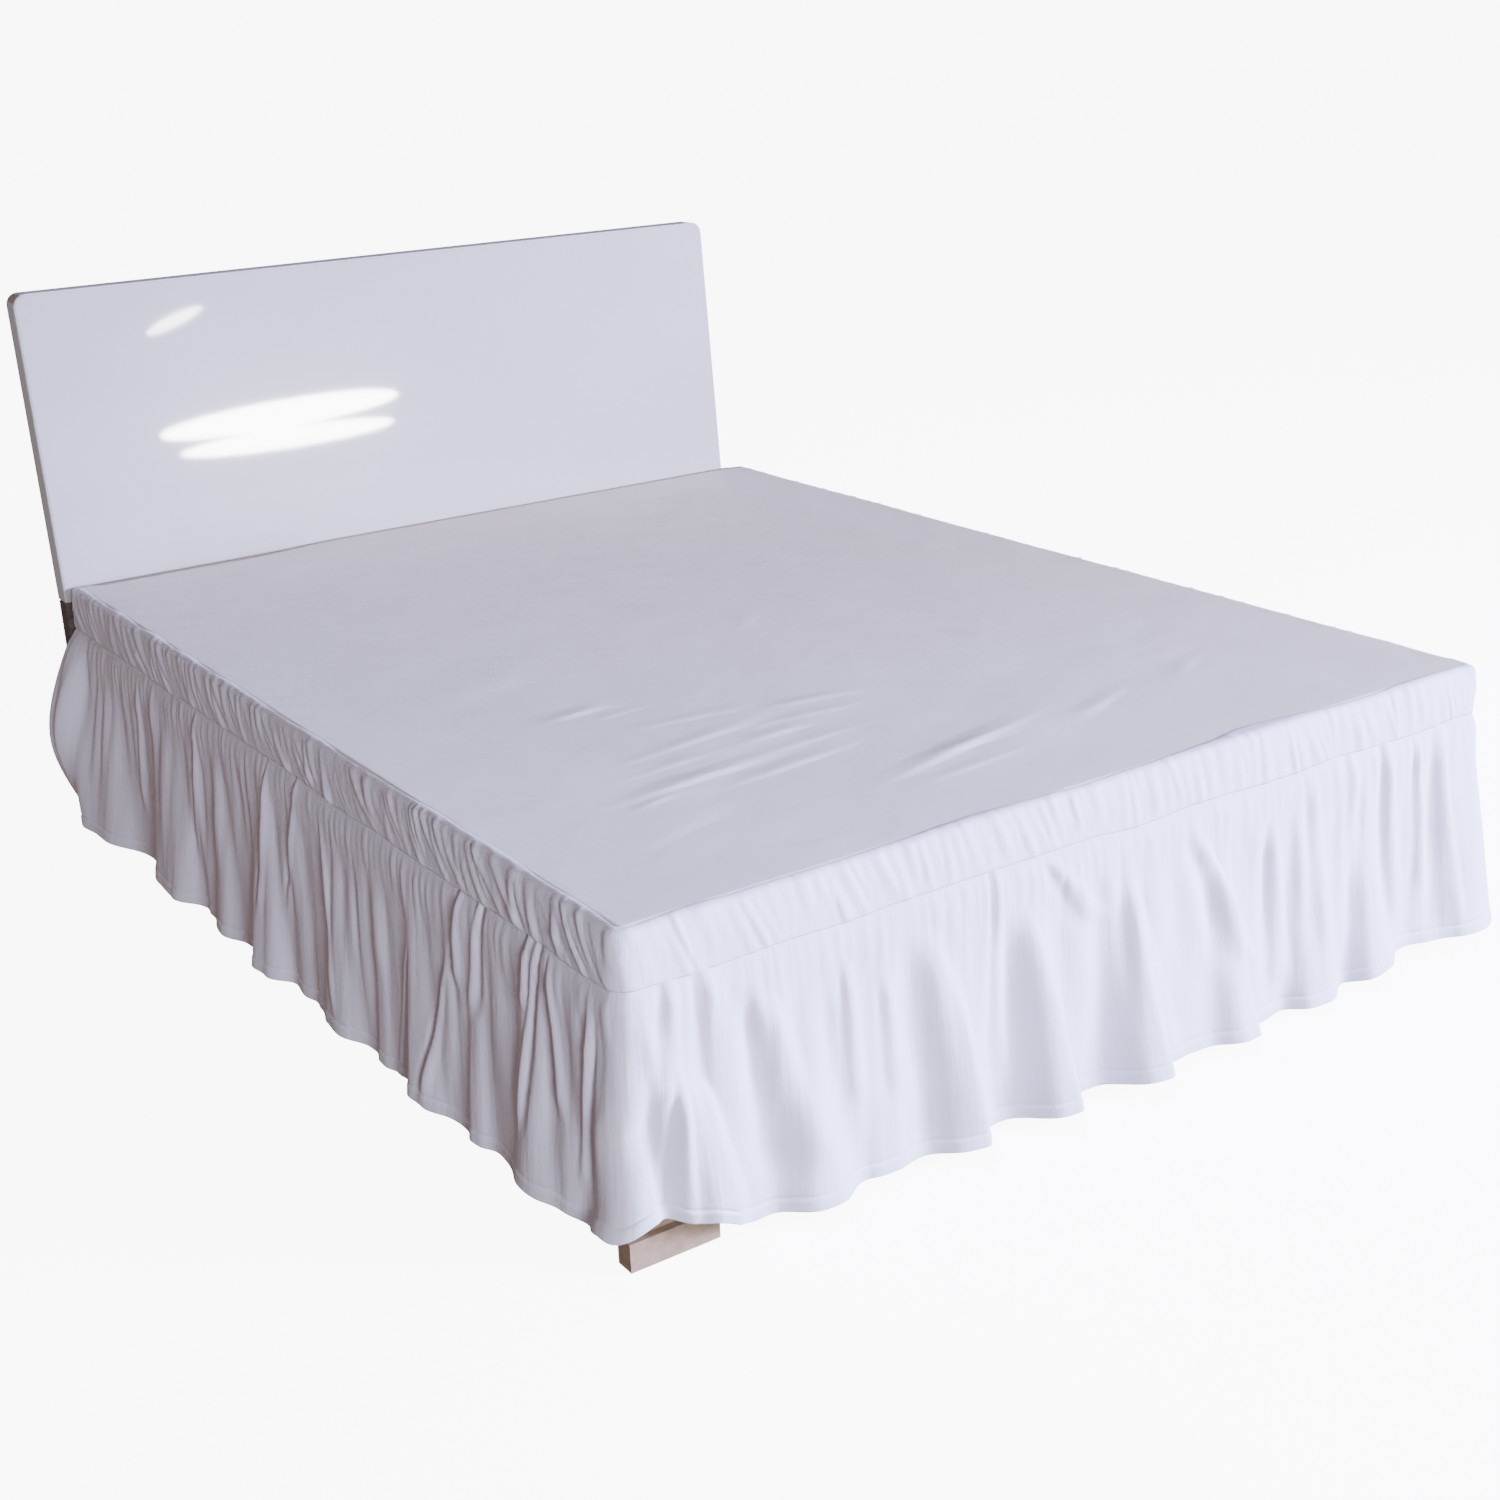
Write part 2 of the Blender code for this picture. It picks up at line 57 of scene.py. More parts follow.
# Size of the skirt, as in the solids
SKIRT_WIDTH = 1.530
SKIRT_LENGTH = 2.000
DECK_TOP = 0.450
HEAD_END = 0.988
CORNER_RADIUS = 0.020
CLOTH = 0.002
ROLL_RADIUS = 0.012
DECK_SEAM = 0.012
BAND_FOOT = 0.372
BAND_PROUD = 0.009
STRIP_INSET = 0.018
SEAM_GAP = 0.0004
HALF_WIDTH = SKIRT_WIDTH / 2
FOOT_END = -SKIRT_LENGTH / 2
CORNER_X = SKIRT_WIDTH / 2 - CORNER_RADIUS
CORNER_Y = -SKIRT_LENGTH / 2 + CORNER_RADIUS
QUARTER_ROLL = math.pi / 2 * ROLL_RADIUS
SHEET_LINE = CLOTH / 2
SHEET_TOP = DECK_TOP - CLOTH / 2

# The band's puff over the platform's edge: height, place past the roll's start and flank
EDGE_PUFF = 0.0022
PUFF_TURN = 0.012
PUFF_REACH = 0.022

# How the ruffle hangs: how far out at the hem, the share of the band's stand that is its
# least, the share of a fold's flank at its upper end, and the power of a fold's growth
HANG_OUT = 0.012
LEAST_OUT = 0.5
FLANK_AT_TOP = 0.45
FOLD_GROWTH = 1.2

# Thickness of the cloth that shows
COTTON = 0.0012

# Fineness of the sheets: steps along the edge and rows down it
RUFFLE_STEP = 0.0042
RUFFLE_ROWS = (66, 14)
HEM_ROWS_FROM = 0.925
BAND_STEP = 0.0032
BAND_ROWS = 24
DECK_COLUMNS = 150
DECK_RINGS = 8
CORNER_STEPS = 6
ARC_COLUMNS = 12
Span = namedtuple("Span", "end step")
DECK_SPANS = [Span(-0.930, 0.0080), Span(-0.270, 0.0045), Span(HEAD_END, 0.0150)]

# Gathers of the ruffle in layers, fine under the band and wide at the hem: pitch and
# depth from and to, the falls between which they stand, and how far they may lean
Layer = namedtuple("Layer", "seed pitch depth start end lean")
LAYERS = [
    Layer(41, (0.012, 0.028), (0.0006, 0.0026), -0.03, 0.30, 0.008),
    Layer(52, (0.026, 0.072), (0.0020, 0.0085), -0.02, 1.05, 0.026),
    Layer(7, (0.060, 0.120), (0.0020, 0.0090), 0.20, 2.00, 0.030),
]

# How a gather grows and fades down its layer, in shares of the layer's height: where it
# may start, how long it grows, when it fades, for how long at least, and a draw's share
GATHER_START = 0.15
GATHER_GROWTH = 0.22
GATHER_FADE = 0.30
GATHER_FADE_LEAST = 0.25
GATHER_FADE_MORE = 0.45

# Share of its pitch that a gather's flank takes, in the ruffle and in the band
GATHER_FLANK = 0.62

# How much of a gather stays at the ruffle's seam, and the falls over which it opens
PINCHED = 0.20
PINCH_FROM = -0.012
PINCH_OVER = 0.045

# Gathers of the shirred band: pitch, depth and lean, the shares of the last two on the
# foot, a gather's length from its draw, what stays at the seams, and its lift on the deck
SHIRR_SEED = 19
SHIRR_PITCH = (0.010, 0.030)
SHIRR_DEPTH = (0.0006, 0.0046)
SHIRR_LEAN = (0.020, 0.105)
SHIRR_ON_FOOT = 0.80
SHIRR_LEAN_ON_FOOT = 0.40
SHIRR_TALL = (0.5, 1.2)
SHIRR_LENGTH = (0.3, 0.7)
SHIRR_AT_SEAMS = 0.35
SHIRR_HELD_OVER = 0.08
SHIRR_FROM_TOP = 0.22
SHIRR_LIFT = 0.5
SHIRR_LIFT_AT = 0.20
SHIRR_LIFT_OVER = 0.16

# Unevenness of the band's two seams, up and down
SEAM_SEED = 33
SEAM_PITCH = (0.05, 0.14)
SEAM_SHIFT = (-0.0035, 0.0035)

# Where sheets are sewn: how far a sheet is tucked under its neighbour and how deep
TUCK_RISE = 0.014
TUCK_DEPTH = 0.0026
TUCK_EASE = 0.030
JOIN_LAP = 0.008
JOIN_DEPTH = 0.0024
BAND_TUCK = 0.0004
BAND_TUCK_REACH = 0.09

# The ruffle's puff under its seam: height, its crest's fall, and the flank under it
RUFFLE_PUFF = 0.0035
RUFFLE_PUFF_AT = 0.09
RUFFLE_PUFF_FLANK = 0.25

# How the band starts on the deck: how far on it, how high it rises there, the share of
# that on the sides, how deep its edge is sewn in, and the falls over which each ends
BAND_SLIP = 0.0115
LYING_RISE = 0.0013
RISE_ON_SIDE = 0.40
LYING_OVER = 0.35
SEWN_UNDER = 0.0007
SEWN_OVER = 0.06
PUFF_OVER = 0.2
BAND_FILL = 1.5
CORNER_CHANGE = 0.05

# Turned hem and the rows of stitches
HEM_TURN = 0.018
HEM_STEP = 0.0014
HEM_STEP_OVER = 0.003
HEM_GROOVE = 0.0022
HEM_GROOVE_WIDTH = 0.004
STITCH_PITCH = 0.0040
STITCH_LENGTH = 0.0027
STITCH_RADIUS = 0.00035
STITCH_SIDES = 5
STITCH_RINGS = 3
STITCH_LINE_POINTS = 1400
STITCH_LINE_INSET = 0.004
HEM_STITCH_INSET = 0.002
SEAM_STITCH_INSET = 0.004
UPPER_STITCH_FALL = 0.06
LOWER_STITCH_FALL = 0.955

# How the camera stood: focal length and sensor in mm, place and turn
LENS = 50.05
SENSOR = 36.0
CAMERA_PLACE = (-1.8345, -2.8975, 1.4461)
CAMERA_YAW = math.radians(33.661)
CAMERA_PITCH = math.radians(19.806)
CAMERA_ROLL = math.radians(-2.360)

# A fold of the ruffle: place is x on the foot and y on a side, at the hem.
# before and after are its flanks along the run from the left side's head end.
# reach is the share of the drop that it takes up, and lean how far its crest
# has moved along the run from the seam to the hem. belly is out at mid height.
Fold = namedtuple("Fold", "side place depth before after reach lean belly", defaults=(0, 0))
FOLDS = of_sides(
    Fold,
    left=[
        (0.970, 0.014, 0.300, 0.160, 1.00, 0.00, 0.058),
        (0.850, 0.050, 0.150, 0.220, 0.95),
        (0.495, 0.034, 0.180, 0.160, 0.90, 0.01),
        (0.265, 0.022, 0.090, 0.100, 0.70),
        (0.055, 0.030, 0.130, 0.080, 0.95),
        (-0.193, 0.020, 0.090, 0.110, 0.80),
        (-0.345, 0.010, 0.050, 0.050, 0.75),
        (-0.479, 0.022, 0.080, 0.090, 0.85, 0.01),
        (-0.640, 0.012, 0.050, 0.050, 0.95),
        (-0.797, 0.020, 0.090, 0.090, 0.80),
        (-0.975, 0.018, 0.070, 0.070, 0.80),
    ],
    foot=[
        (-0.655, 0.018, 0.070, 0.050, 0.40, 0.02),
        (-0.512, 0.032, 0.085, 0.095, 0.80, 0.02),
        (-0.400, 0.008, 0.050, 0.050, 0.80),
        (-0.272, 0.040, 0.095, 0.050, 0.85, 0.03),
        (-0.116, 0.042, 0.095, 0.050, 0.85, 0.03),
        (0.037, 0.046, 0.090, 0.060, 0.80, 0.02),
        (0.105, 0.020, 0.330, 0.330, 0.90),
        (0.231, 0.036, 0.085, 0.050, 0.80, 0.03),
        (0.390, 0.034, 0.075, 0.100, 0.80, 0.02),
        (0.520, 0.034, 0.075, 0.090, 0.60),
        (0.765, 0.037, 0.150, 0.110, 0.95, 0.03),
    ],
    right=[
        (-0.860, 0.028, 0.070, 0.080, 0.85),
        (-0.690, 0.020, 0.070, 0.070, 0.80),
        (-0.480, 0.032, 0.110, 0.080, 0.90, -0.01),
        (-0.270, 0.018, 0.080, 0.090, 0.75),
        (-0.060, 0.030, 0.090, 0.110, 0.90, 0.01),
        (0.130, 0.014, 0.060, 0.060, 0.80),
        (0.300, 0.028, 0.100, 0.090, 0.85, -0.01),
        (0.510, 0.022, 0.100, 0.100, 0.80),
        (0.700, 0.016, 0.060, 0.070, 0.75),
        (0.890, 0.026, 0.110, 0.120, 0.90, 0.00, 0.012),
    ],
)

# Height of the hem over the floor, before a fold lifts it
HemPlace = namedtuple("HemPlace", "side place height")
HEM = of_sides(
    HemPlace,
    left=[
        (0.993, 0.012),
        (0.500, 0.006),
        (0.000, 0.010),
        (-0.500, 0.014),
        (-0.900, 0.028),
        (-0.985, 0.046),
    ],
    foot=[
        (-0.745, 0.068),
        (-0.685, 0.054),
        (-0.605, 0.018),
        (-0.515, 0.014),
        (0.065, 0.014),
        (0.405, 0.009),
        (0.605, 0.028),
        (0.725, 0.026),
    ],
    right=[
        (-0.500, 0.014),
        (0.200, 0.012),
        (0.993, 0.014),
    ],
)

# A crease pressed into the ruffle or raised on it, from its upper to its lower end:
# place0 and place1 along the side, height0 and height1 over the floor, and its depth,
# which is out of the cloth if positive. before and after are its half widths, and
# VALLEY is the depth of the hollow before it, as a share of its own. The hollow lies
# VALLEY_AT of before away and is VALLEY_WIDTH of it wide.
VALLEY = 0.7
VALLEY_AT = 1.1
VALLEY_WIDTH = 0.8

# The share of a crease at each of its ends over which it fades, its width at the upper
# end as a share of the table's, and the share of its length at which it stops widening
STREAK_FADE = 0.15
STREAK_WIDTH_ABOVE = 0.45
STREAK_WIDENS_TO = 1.2
Streak = namedtuple("Streak", "side place0 height0 place1 height1 depth before after")
STREAKS = of_sides(
    Streak,
    foot=[
        (-0.702, 0.375, -0.714, 0.161, 0.0050, 0.030, 0.024),
        (-0.655, 0.370, -0.640, 0.190, 0.0060, 0.030, 0.050),
        (-0.670, 0.220, -0.640, 0.050, 0.0165, 0.125, 0.030),
        (-0.700, 0.240, -0.706, 0.050, 0.0060, 0.024, 0.015),
        (-0.575, 0.310, -0.520, 0.090, 0.0090, 0.060, 0.050),
        (-0.450, 0.310, -0.440, 0.130, 0.0045, 0.022, 0.025),
        (-0.388, 0.270, -0.372, 0.120, 0.0045, 0.026, 0.030),
        (-0.311, 0.300, -0.245, 0.030, 0.0090, 0.080, 0.040),
        (-0.203, 0.390, -0.202, 0.100, 0.0040, 0.020, 0.020),
        (-0.153, 0.290, -0.105, 0.010, 0.0090, 0.085, 0.040),
        (-0.104, 0.360, -0.029, 0.260, 0.0045, 0.035, 0.035),
        (0.032, 0.280, 0.092, 0.010, 0.0090, 0.095, 0.040),
        (0.170, 0.320, 0.261, 0.120, 0.0075, 0.050, 0.022),
        (0.315, 0.290, 0.335, 0.050, 0.0065, 0.034, 0.030),
        (0.395, 0.340, 0.420, 0.100, 0.0040, 0.030, 0.030),
        (0.478, 0.373, 0.499, 0.130, 0.0040, 0.026, 0.020),
        (0.556, 0.368, 0.584, 0.080, 0.0060, 0.028, 0.030),
        (0.625, 0.350, 0.645, 0.120, 0.0040, 0.020, 0.020),
        (0.680, 0.350, 0.706, 0.050, 0.0070, 0.040, 0.022),
    ],
    left=[
        (-0.615, 0.374, -0.592, 0.240, 0.0060, 0.014, 0.016),
        (-0.560, 0.240, -0.500, 0.040, 0.0060, 0.016, 0.018),
        (-0.800, 0.380, -0.786, 0.280, 0.0050, 0.012, 0.014),
        (-0.853, 0.350, -0.870, 0.170, 0.0060, 0.014, 0.018),
        (-0.451, 0.220, -0.415, 0.020, -0.0050, 0.020, 0.016),
        (-0.679, 0.385, -0.651, 0.220, -0.0050, 0.018, 0.014),
        (-0.827, 0.373, -0.791, 0.120, -0.0060, 0.016, 0.014),
        (-0.956, 0.310, -0.933, 0.090, -0.0060, 0.018, 0.018),
        (-0.163, 0.304, -0.197, 0.055, 0.0050, 0.014, 0.016),
        (0.036, 0.357, 0.074, 0.125, 0.0050, 0.014, 0.018),
        (-0.078, 0.374, -0.016, 0.156, 0.0040, 0.012, 0.016),
        (0.349, 0.357, 0.391, 0.110, 0.0050, 0.016, 0.018),
        (0.637, 0.330, 0.665, 0.110, 0.0060, 0.018, 0.020),
    ],
)

# Where the band's upper seam has slipped on to the deck, by how much, and its flanks
Slip = namedtuple("Slip", "side place depth before after")
SLIPS = [
    Slip("foot", 0.275, 0.018, 0.130, 0.200),
    Slip("foot", -0.230, 0.005, 0.140, 0.120),
]

# Creases of the deck panel, from one end to the other: height, and width of the flank
# before the crest, towards the foot. The flank behind it is BEHIND times as wide.
BEHIND = 3.0
CREASE_ENDS = 1.25
Crease = namedtuple("Crease", "x0 y0 x1 y1 height flank")
CREASES = [
    Crease(-0.563, -0.657, -0.258, -0.632, 0.0031, 0.013),
    Crease(-0.545, -0.690, -0.470, -0.672, 0.0014, 0.008),
    Crease(-0.485, -0.534, -0.204, -0.497, 0.0017, 0.011),
    Crease(-0.505, -0.585, -0.330, -0.572, 0.0012, 0.009),
    Crease(-0.405, -0.412, -0.185, -0.441, 0.0014, 0.011),
    Crease(-0.191, -0.460, -0.007, -0.489, 0.0022, 0.011),
    Crease(-0.235, -0.520, -0.040, -0.535, 0.0014, 0.009),
    Crease(-0.302, -0.568, -0.158, -0.561, 0.0019, 0.010),
    Crease(-0.438, -0.700, -0.147, -0.667, 0.0017, 0.011),
    Crease(-0.330, -0.628, -0.110, -0.612, 0.0014, 0.009),
    Crease(-0.238, -0.821, 0.117, -0.740, 0.0034, 0.014),
    Crease(-0.130, -0.790, 0.070, -0.775, 0.0015, 0.009),
    Crease(-0.215, -0.862, 0.010, -0.835, 0.0012, 0.009),
    Crease(0.130, -0.800, 0.290, -0.735, 0.0017, 0.011),
    Crease(0.385, -0.750, 0.485, -0.690, 0.0012, 0.011),
    Crease(-0.467, -0.300, -0.349, -0.292, 0.0026, 0.012),
    Crease(-0.420, -0.340, -0.300, -0.335, 0.0012, 0.009),
    Crease(-0.552, 0.249, -0.394, 0.238, 0.0012, 0.012),
    Crease(-0.452, -0.925, -0.396, -0.954, 0.0012, 0.009),
    Crease(0.025, -0.100, 0.115, 0.000, 0.0012, 0.013),
    Crease(-0.600, -0.560, 0.050, -0.480, 0.0018, 0.120),
    Crease(-0.250, -0.860, 0.300, -0.720, 0.0018, 0.090),
]

# Soft unevenness strewn over the deck panel
SOFT_SEED = 23
SOFT_COUNT = 46
SOFT_HEIGHT = (0.0003, 0.0011)
SOFT_LENGTH = (0.10, 0.34)
SOFT_WIDTH = (0.015, 0.040)
SOFT_TURN = (-0.25, 0.75)
SOFT_X = (-0.65, 0.65)
SOFT_Y = (-0.90, 0.85)

# The deck panel's end at the headboard: slack on the left, tucked in from there on
HEAD_SLACK = 0.014
HEAD_TUCK = 0.010
HEAD_TUCK_FROM = -0.420
HEAD_TUCK_OVER = 0.200
HEAD_TUCK_LENGTH = 0.08
RIM_FLAT = 0.03

# Colours of the cotton, and the painted shade that makes the deck darker and warmer towards
# its far right end. A look holds the plain settings of a finish's shader.
DECK_WHITES = ((0.820, 0.790, 0.795), (0.850, 0.842, 0.865))
SKIRT_WHITES = ((0.790, 0.782, 0.930), (0.825, 0.832, 0.980))
FAR_SHADE_TINT = (0.770, 0.655, 0.530)
FAR_SHADE_ALONG = (0.45, 0.35)
FAR_SHADE_SPAN = (-0.52, 0.30)
THREAD_WHITES = ((0.72, 0.72, 0.79), (0.84, 0.84, 0.90))

# A noise: its scale, its stretch along the three axes and its detail
Noise = namedtuple("Noise", "scale stretch detail")

# A cotton: its name, its two whites, its small wrinkles and their depth, the depth of
# its crimp, and if it has painted shade towards its far right end
Cotton = namedtuple("Cotton", "name whites wrinkles wrinkle_depth crimp_depth is_worn")
RUFFLE_COTTON = Cotton(
    "ruffle_cotton", SKIRT_WHITES, Noise(1.0, (55.0, 7.0, 1.0), 4.0), 0.0022, 0.0004, False
)
BAND_COTTON = Cotton(
    "band_cotton", SKIRT_WHITES, Noise(1.0, (60.0, 26.0, 1.0), 4.0), 0.0020, 0.0004, False
)
DECK_COTTON = Cotton(
    "deck_cotton", DECK_WHITES, Noise(1.0, (6.0, 11.0, 1.0), 4.0), 0.0030, 0.0002, True
)
COTTON_LOOK = {
    "Roughness": 0.88, "Sheen Weight": 0.25, "Sheen Roughness": 0.5, "Specular IOR Level": 0.25
}
COTTON_CLOUDS = Noise(5.0, (1.0, 1.0, 1.0), 2.0)
CRIMP = Noise(140.0, (1.0, 0.6, 1.0), 2.0)

# The weave's threads: pitch, depth and unevenness, with the turn of a wave per unit
THREAD_PITCH = 0.0009
THREAD_DEPTH = 0.00005
THREAD_UNEVEN = 0.4
WAVE_TURN = 20.0

# Where a noise's low colour ends and its high colour starts
TINT_ENDS = (0.30, 0.70)

# Sewing thread
SEWING_LOOK = {"Roughness": 0.6}
TWIST = Noise(2500.0, (1.0, 1.0, 1.0), 2.0)
TWIST_DEPTH = 0.00008

# The headboard's lacquer, and the edging past its left and upper limits, painted paler as light on
# faces in shade
LACQUERS = ((0.485, 0.458, 0.440), (0.525, 0.500, 0.492))
EDGING_PAINTED_LIGHT = (0.84, 0.93, 0.98)
EDGING_LEFT = -0.7795
EDGING_TOP = 0.9885
LACQUER_LOOK = {"Roughness": 0.22, "Specular IOR Level": 0.1, "Coat Roughness": 0.03}
# Faint paler blotches painted into the lacquer's tone as reflection
LACQUER_PAINTED_BLOTCHES = Noise(2.2, (1.0, 1.0, 1.6), 2.0)
LACQUER_WAVES = Noise(2.6, (1.0, 1.0, 2.0), 1.0)
LACQUER_WAVE_DEPTH = 0.0018
LACQUER_PEEL = Noise(320.0, (1.0, 1.0, 1.0), 1.0)
LACQUER_PEEL_DEPTH = 0.00004

# The woods: name, dark and light colour, and look
# The bed's wood is its own tan made darker, as painted shade from the skirt hanging over it
BED_WOOD_WITH_PAINTED_SHADE = ("bed_wood", (0.29, 0.205, 0.135), (0.37, 0.27, 0.185), {"Roughness": 0.65})
DARK_WOOD = ("dark_wood", (0.05, 0.04, 0.035), (0.13, 0.10, 0.09), {"Roughness": 0.45})
GRAIN = Noise(9.0, (9.0, 0.8, 12.0), 5.0)
PORES = Noise(60.0, (6.0, 0.5, 8.0), 3.0)
PORE_DEPTH = 0.0004

# Light: a large window to the right of the foot, a weak one to its left and the room.
# Each window: the side it stands on, how far off, width, height, power and colour.
Window = namedtuple("Window", "source distance width height power colour")
WINDOWS = {
    "right_window": Window((0.70, -0.69, 0.230), 6.0, 2.2, 1.5, 1500.0, (0.90, 0.97, 1.58)),
    "left_window": Window((-0.34, -0.92, 0.19), 5.2, 1.2, 0.9, 225.0, (0.98, 1.00, 1.18)),
}
LIT_PLACE = (0.0, -0.5, 0.3)
ROOM_COLOUR = (0.216, 0.157, 0.137)
STAGE_COLOUR = (0.93, 0.93, 0.94)
FLOOR_GLOW = 9.3
WALL_GLOW = 9.5
FLOOR_RADIUS = 40.0
WALL_RADIUS = 39.0
WALL_SPAN = (-1.0, 16.0)
STAGE_LOOK = {"Roughness": 0.9, "Specular IOR Level": 0.0}
ROUND_STEPS = 96

# Narrow windows that the lacquer mirrors: two ends, height and strength
Pane = namedtuple("Pane", "start end height strength")
PANES = [
    Pane((1.290, -4.688, 0.528), (2.400, -4.455, 0.572), 0.128, 85.0),
    Pane((1.370, -4.675, 0.431), (2.360, -4.466, 0.446), 0.096, 55.0),
    Pane((1.310, -4.670, 0.995), (1.570, -4.616, 1.085), 0.052, 4.0),
]

# Runs along the deck's edge, from the left side's head end round to the right's
SIDE_RUN = HEAD_END + SKIRT_LENGTH / 2 - CORNER_RADIUS
ARC_RUN = math.pi / 2 * CORNER_RADIUS
FOOT_RUN = SKIRT_WIDTH - 2 * CORNER_RADIUS
LEFT_JOIN = SIDE_RUN + ARC_RUN / 2
RIGHT_JOIN = SIDE_RUN + 1.5 * ARC_RUN + FOOT_RUN
WHOLE_RUN = 2 * SIDE_RUN + 2 * ARC_RUN + FOOT_RUN
PANELS = (
    ("left", 0.0, LEFT_JOIN),
    ("foot", LEFT_JOIN, RIGHT_JOIN),
    ("right", RIGHT_JOIN, WHOLE_RUN),
)


def run_of(side, place):
    """The run of a place on a side: x on the foot, y on the left and right."""
    if side == "left":
        return HEAD_END - place
    if side == "foot":
        return SIDE_RUN + ARC_RUN + place + CORNER_X
    return SIDE_RUN + 2 * ARC_RUN + FOOT_RUN + place - CORNER_Y


def edge_at(run):
    """The point of the skirt's plan line at a run, and its outward direction."""
    if run <= SIDE_RUN:
        return (-HALF_WIDTH, HEAD_END - run), (-1.0, 0.0)
    run -= SIDE_RUN
    if run <= ARC_RUN:
        return corner_point(-1, math.pi + run / CORNER_RADIUS)
    run -= ARC_RUN
    if run <= FOOT_RUN:
        return (-CORNER_X + run, FOOT_END), (0.0, -1.0)
    run -= FOOT_RUN
    if run <= ARC_RUN:
        return corner_point(1, 1.5 * math.pi + run / CORNER_RADIUS)
    run -= ARC_RUN
    return (HALF_WIDTH, CORNER_Y + run), (1.0, 0.0)


def corner_point(hand, angle):
    """The point of a foot corner's arc, hand -1 on the left and 1 on the right."""
    out = (math.cos(angle), math.sin(angle))
    return (hand * CORNER_X + CORNER_RADIUS * out[0], CORNER_Y + CORNER_RADIUS * out[1]), out


def ridge(distance, before, after=None):
    """A soft ridge, 1 on its crest and 0 at each flank's end, both alike if one is given."""
    flank = np.where(distance < 0, before, before if after is None else after)
    share = np.minimum(np.abs(distance) / flank, 1.0)
    return 0.5 * (1 + np.cos(np.pi * share))


def eased(share):
    """0 to 1 with no corner at either end."""
    share = np.clip(share, 0.0, 1.0)
    return share * share * (3 - 2 * share)


def hem_height(run):
    """The height of the hem at a run, from the table's rows."""
    rows = [(run_of(row.side, row.place), row.height) for row in HEM]
    height = np.full_like(run, rows[0][1])
    for (start, low), (end, high) in zip(rows, rows[1:]):
        within = low + (high - low) * eased((run - start) / (end - start))
        height = np.where(run > start, within, height)
    return height


def along_edge(runs):
    """The edge points and outward directions of a row of runs, as two arrays."""
    pairs = [edge_at(run) for run in runs]
    places = np.array([pair[0] for pair in pairs])
    outs = np.array([pair[1] for pair in pairs])
    return places, outs


def off_edge(places, outs, out, height):
    """Points at a distance out of the edge's own, at some height."""
    across, along = places[:, :1] + outs[:, :1] * out, places[:, 1:] + outs[:, 1:] * out
    return np.stack([across, along, height], axis=2)


def standing_out(run, fall):
    """How far the ruffle's main folds hang out, fall 0 at the seam and 1 at the hem."""
    out = np.broadcast_to(BAND_PROUD + HANG_OUT * fall, np.broadcast(run, fall).shape)
    for fold in FOLDS:
        grown = np.maximum(0.0, (fall - 1 + fold.reach) / fold.reach)
        spread = FLANK_AT_TOP + (1 - FLANK_AT_TOP) * grown
        crest = run_of(fold.side, fold.place) + fold.lean * (fall - 1)
        shape = eased(ridge(run - crest, fold.before * spread, fold.after * spread))
        depth = fold.depth * grown**FOLD_GROWTH + fold.belly * np.sin(np.pi * fall)
        out = out + depth * shape
    return out


def strewn(seed, pitch, *ranges):
    """Places an uneven pitch apart along the run: place, flank before and after, values."""
    dice = np.random.default_rng(seed)
    rows = []
    place = -dice.uniform(*pitch)
    before = dice.uniform(*pitch)
    while place < WHOLE_RUN + pitch[1]:
        after = dice.uniform(*pitch)
        rows.append((place, before, after, *(dice.uniform(low, high) for low, high in ranges)))
        place += after
        before = after
    return rows


def near_to(run, place, reach):
    """Which columns lie close enough to a place for its fold to matter."""
    return np.abs(run[:, 0] - place) < reach


GATHERS = [
    (layer, strewn(layer.seed, layer.pitch, layer.depth, (-1, 1), (0, 1), (0, 1)))
    for layer in LAYERS
]
SHIRRS = strewn(SHIRR_SEED, SHIRR_PITCH, SHIRR_DEPTH, SHIRR_LEAN, (0, 1), SHIRR_TALL)
SEAM_SHIFTS = strewn(SEAM_SEED, SEAM_PITCH, SEAM_SHIFT, SEAM_SHIFT)


def gathered(run, fall):
    """How far the layers of gathers stand out of the ruffle."""
    out = np.zeros(np.broadcast(run, fall).shape)
    falls = np.broadcast_to(fall, out.shape)
    pinch = PINCHED + (1 - PINCHED) * eased((falls - PINCH_FROM) / PINCH_OVER)
    for layer, rows in GATHERS:
        span = layer.end - layer.start
        for place, before, after, depth, tilt, late, long in rows:
            near = near_to(run, place, layer.pitch[1] + layer.lean)
            if not near.any():
                continue
            down = falls[near]
            start = layer.start + GATHER_START * span * late
            grown = eased((down - start) / (GATHER_GROWTH * span))
            fade = (GATHER_FADE_LEAST + GATHER_FADE_MORE * long) * span
            faded = 1 - eased((down - start - GATHER_FADE * span) / fade)
            crest = place + tilt * layer.lean * down
            shape = ridge(run[near] - crest, before * GATHER_FLANK, after * GATHER_FLANK)
            out[near] += depth * grown * faded * pinch[near] * shape
    return out


def seam_shift(run, which):
    """How far a seam of the band strays up or down, which 0 being the upper one."""
    return sum(
        shift[which] * ridge(run - place, before, after)
        for place, before, after, *shift in SEAM_SHIFTS
    )


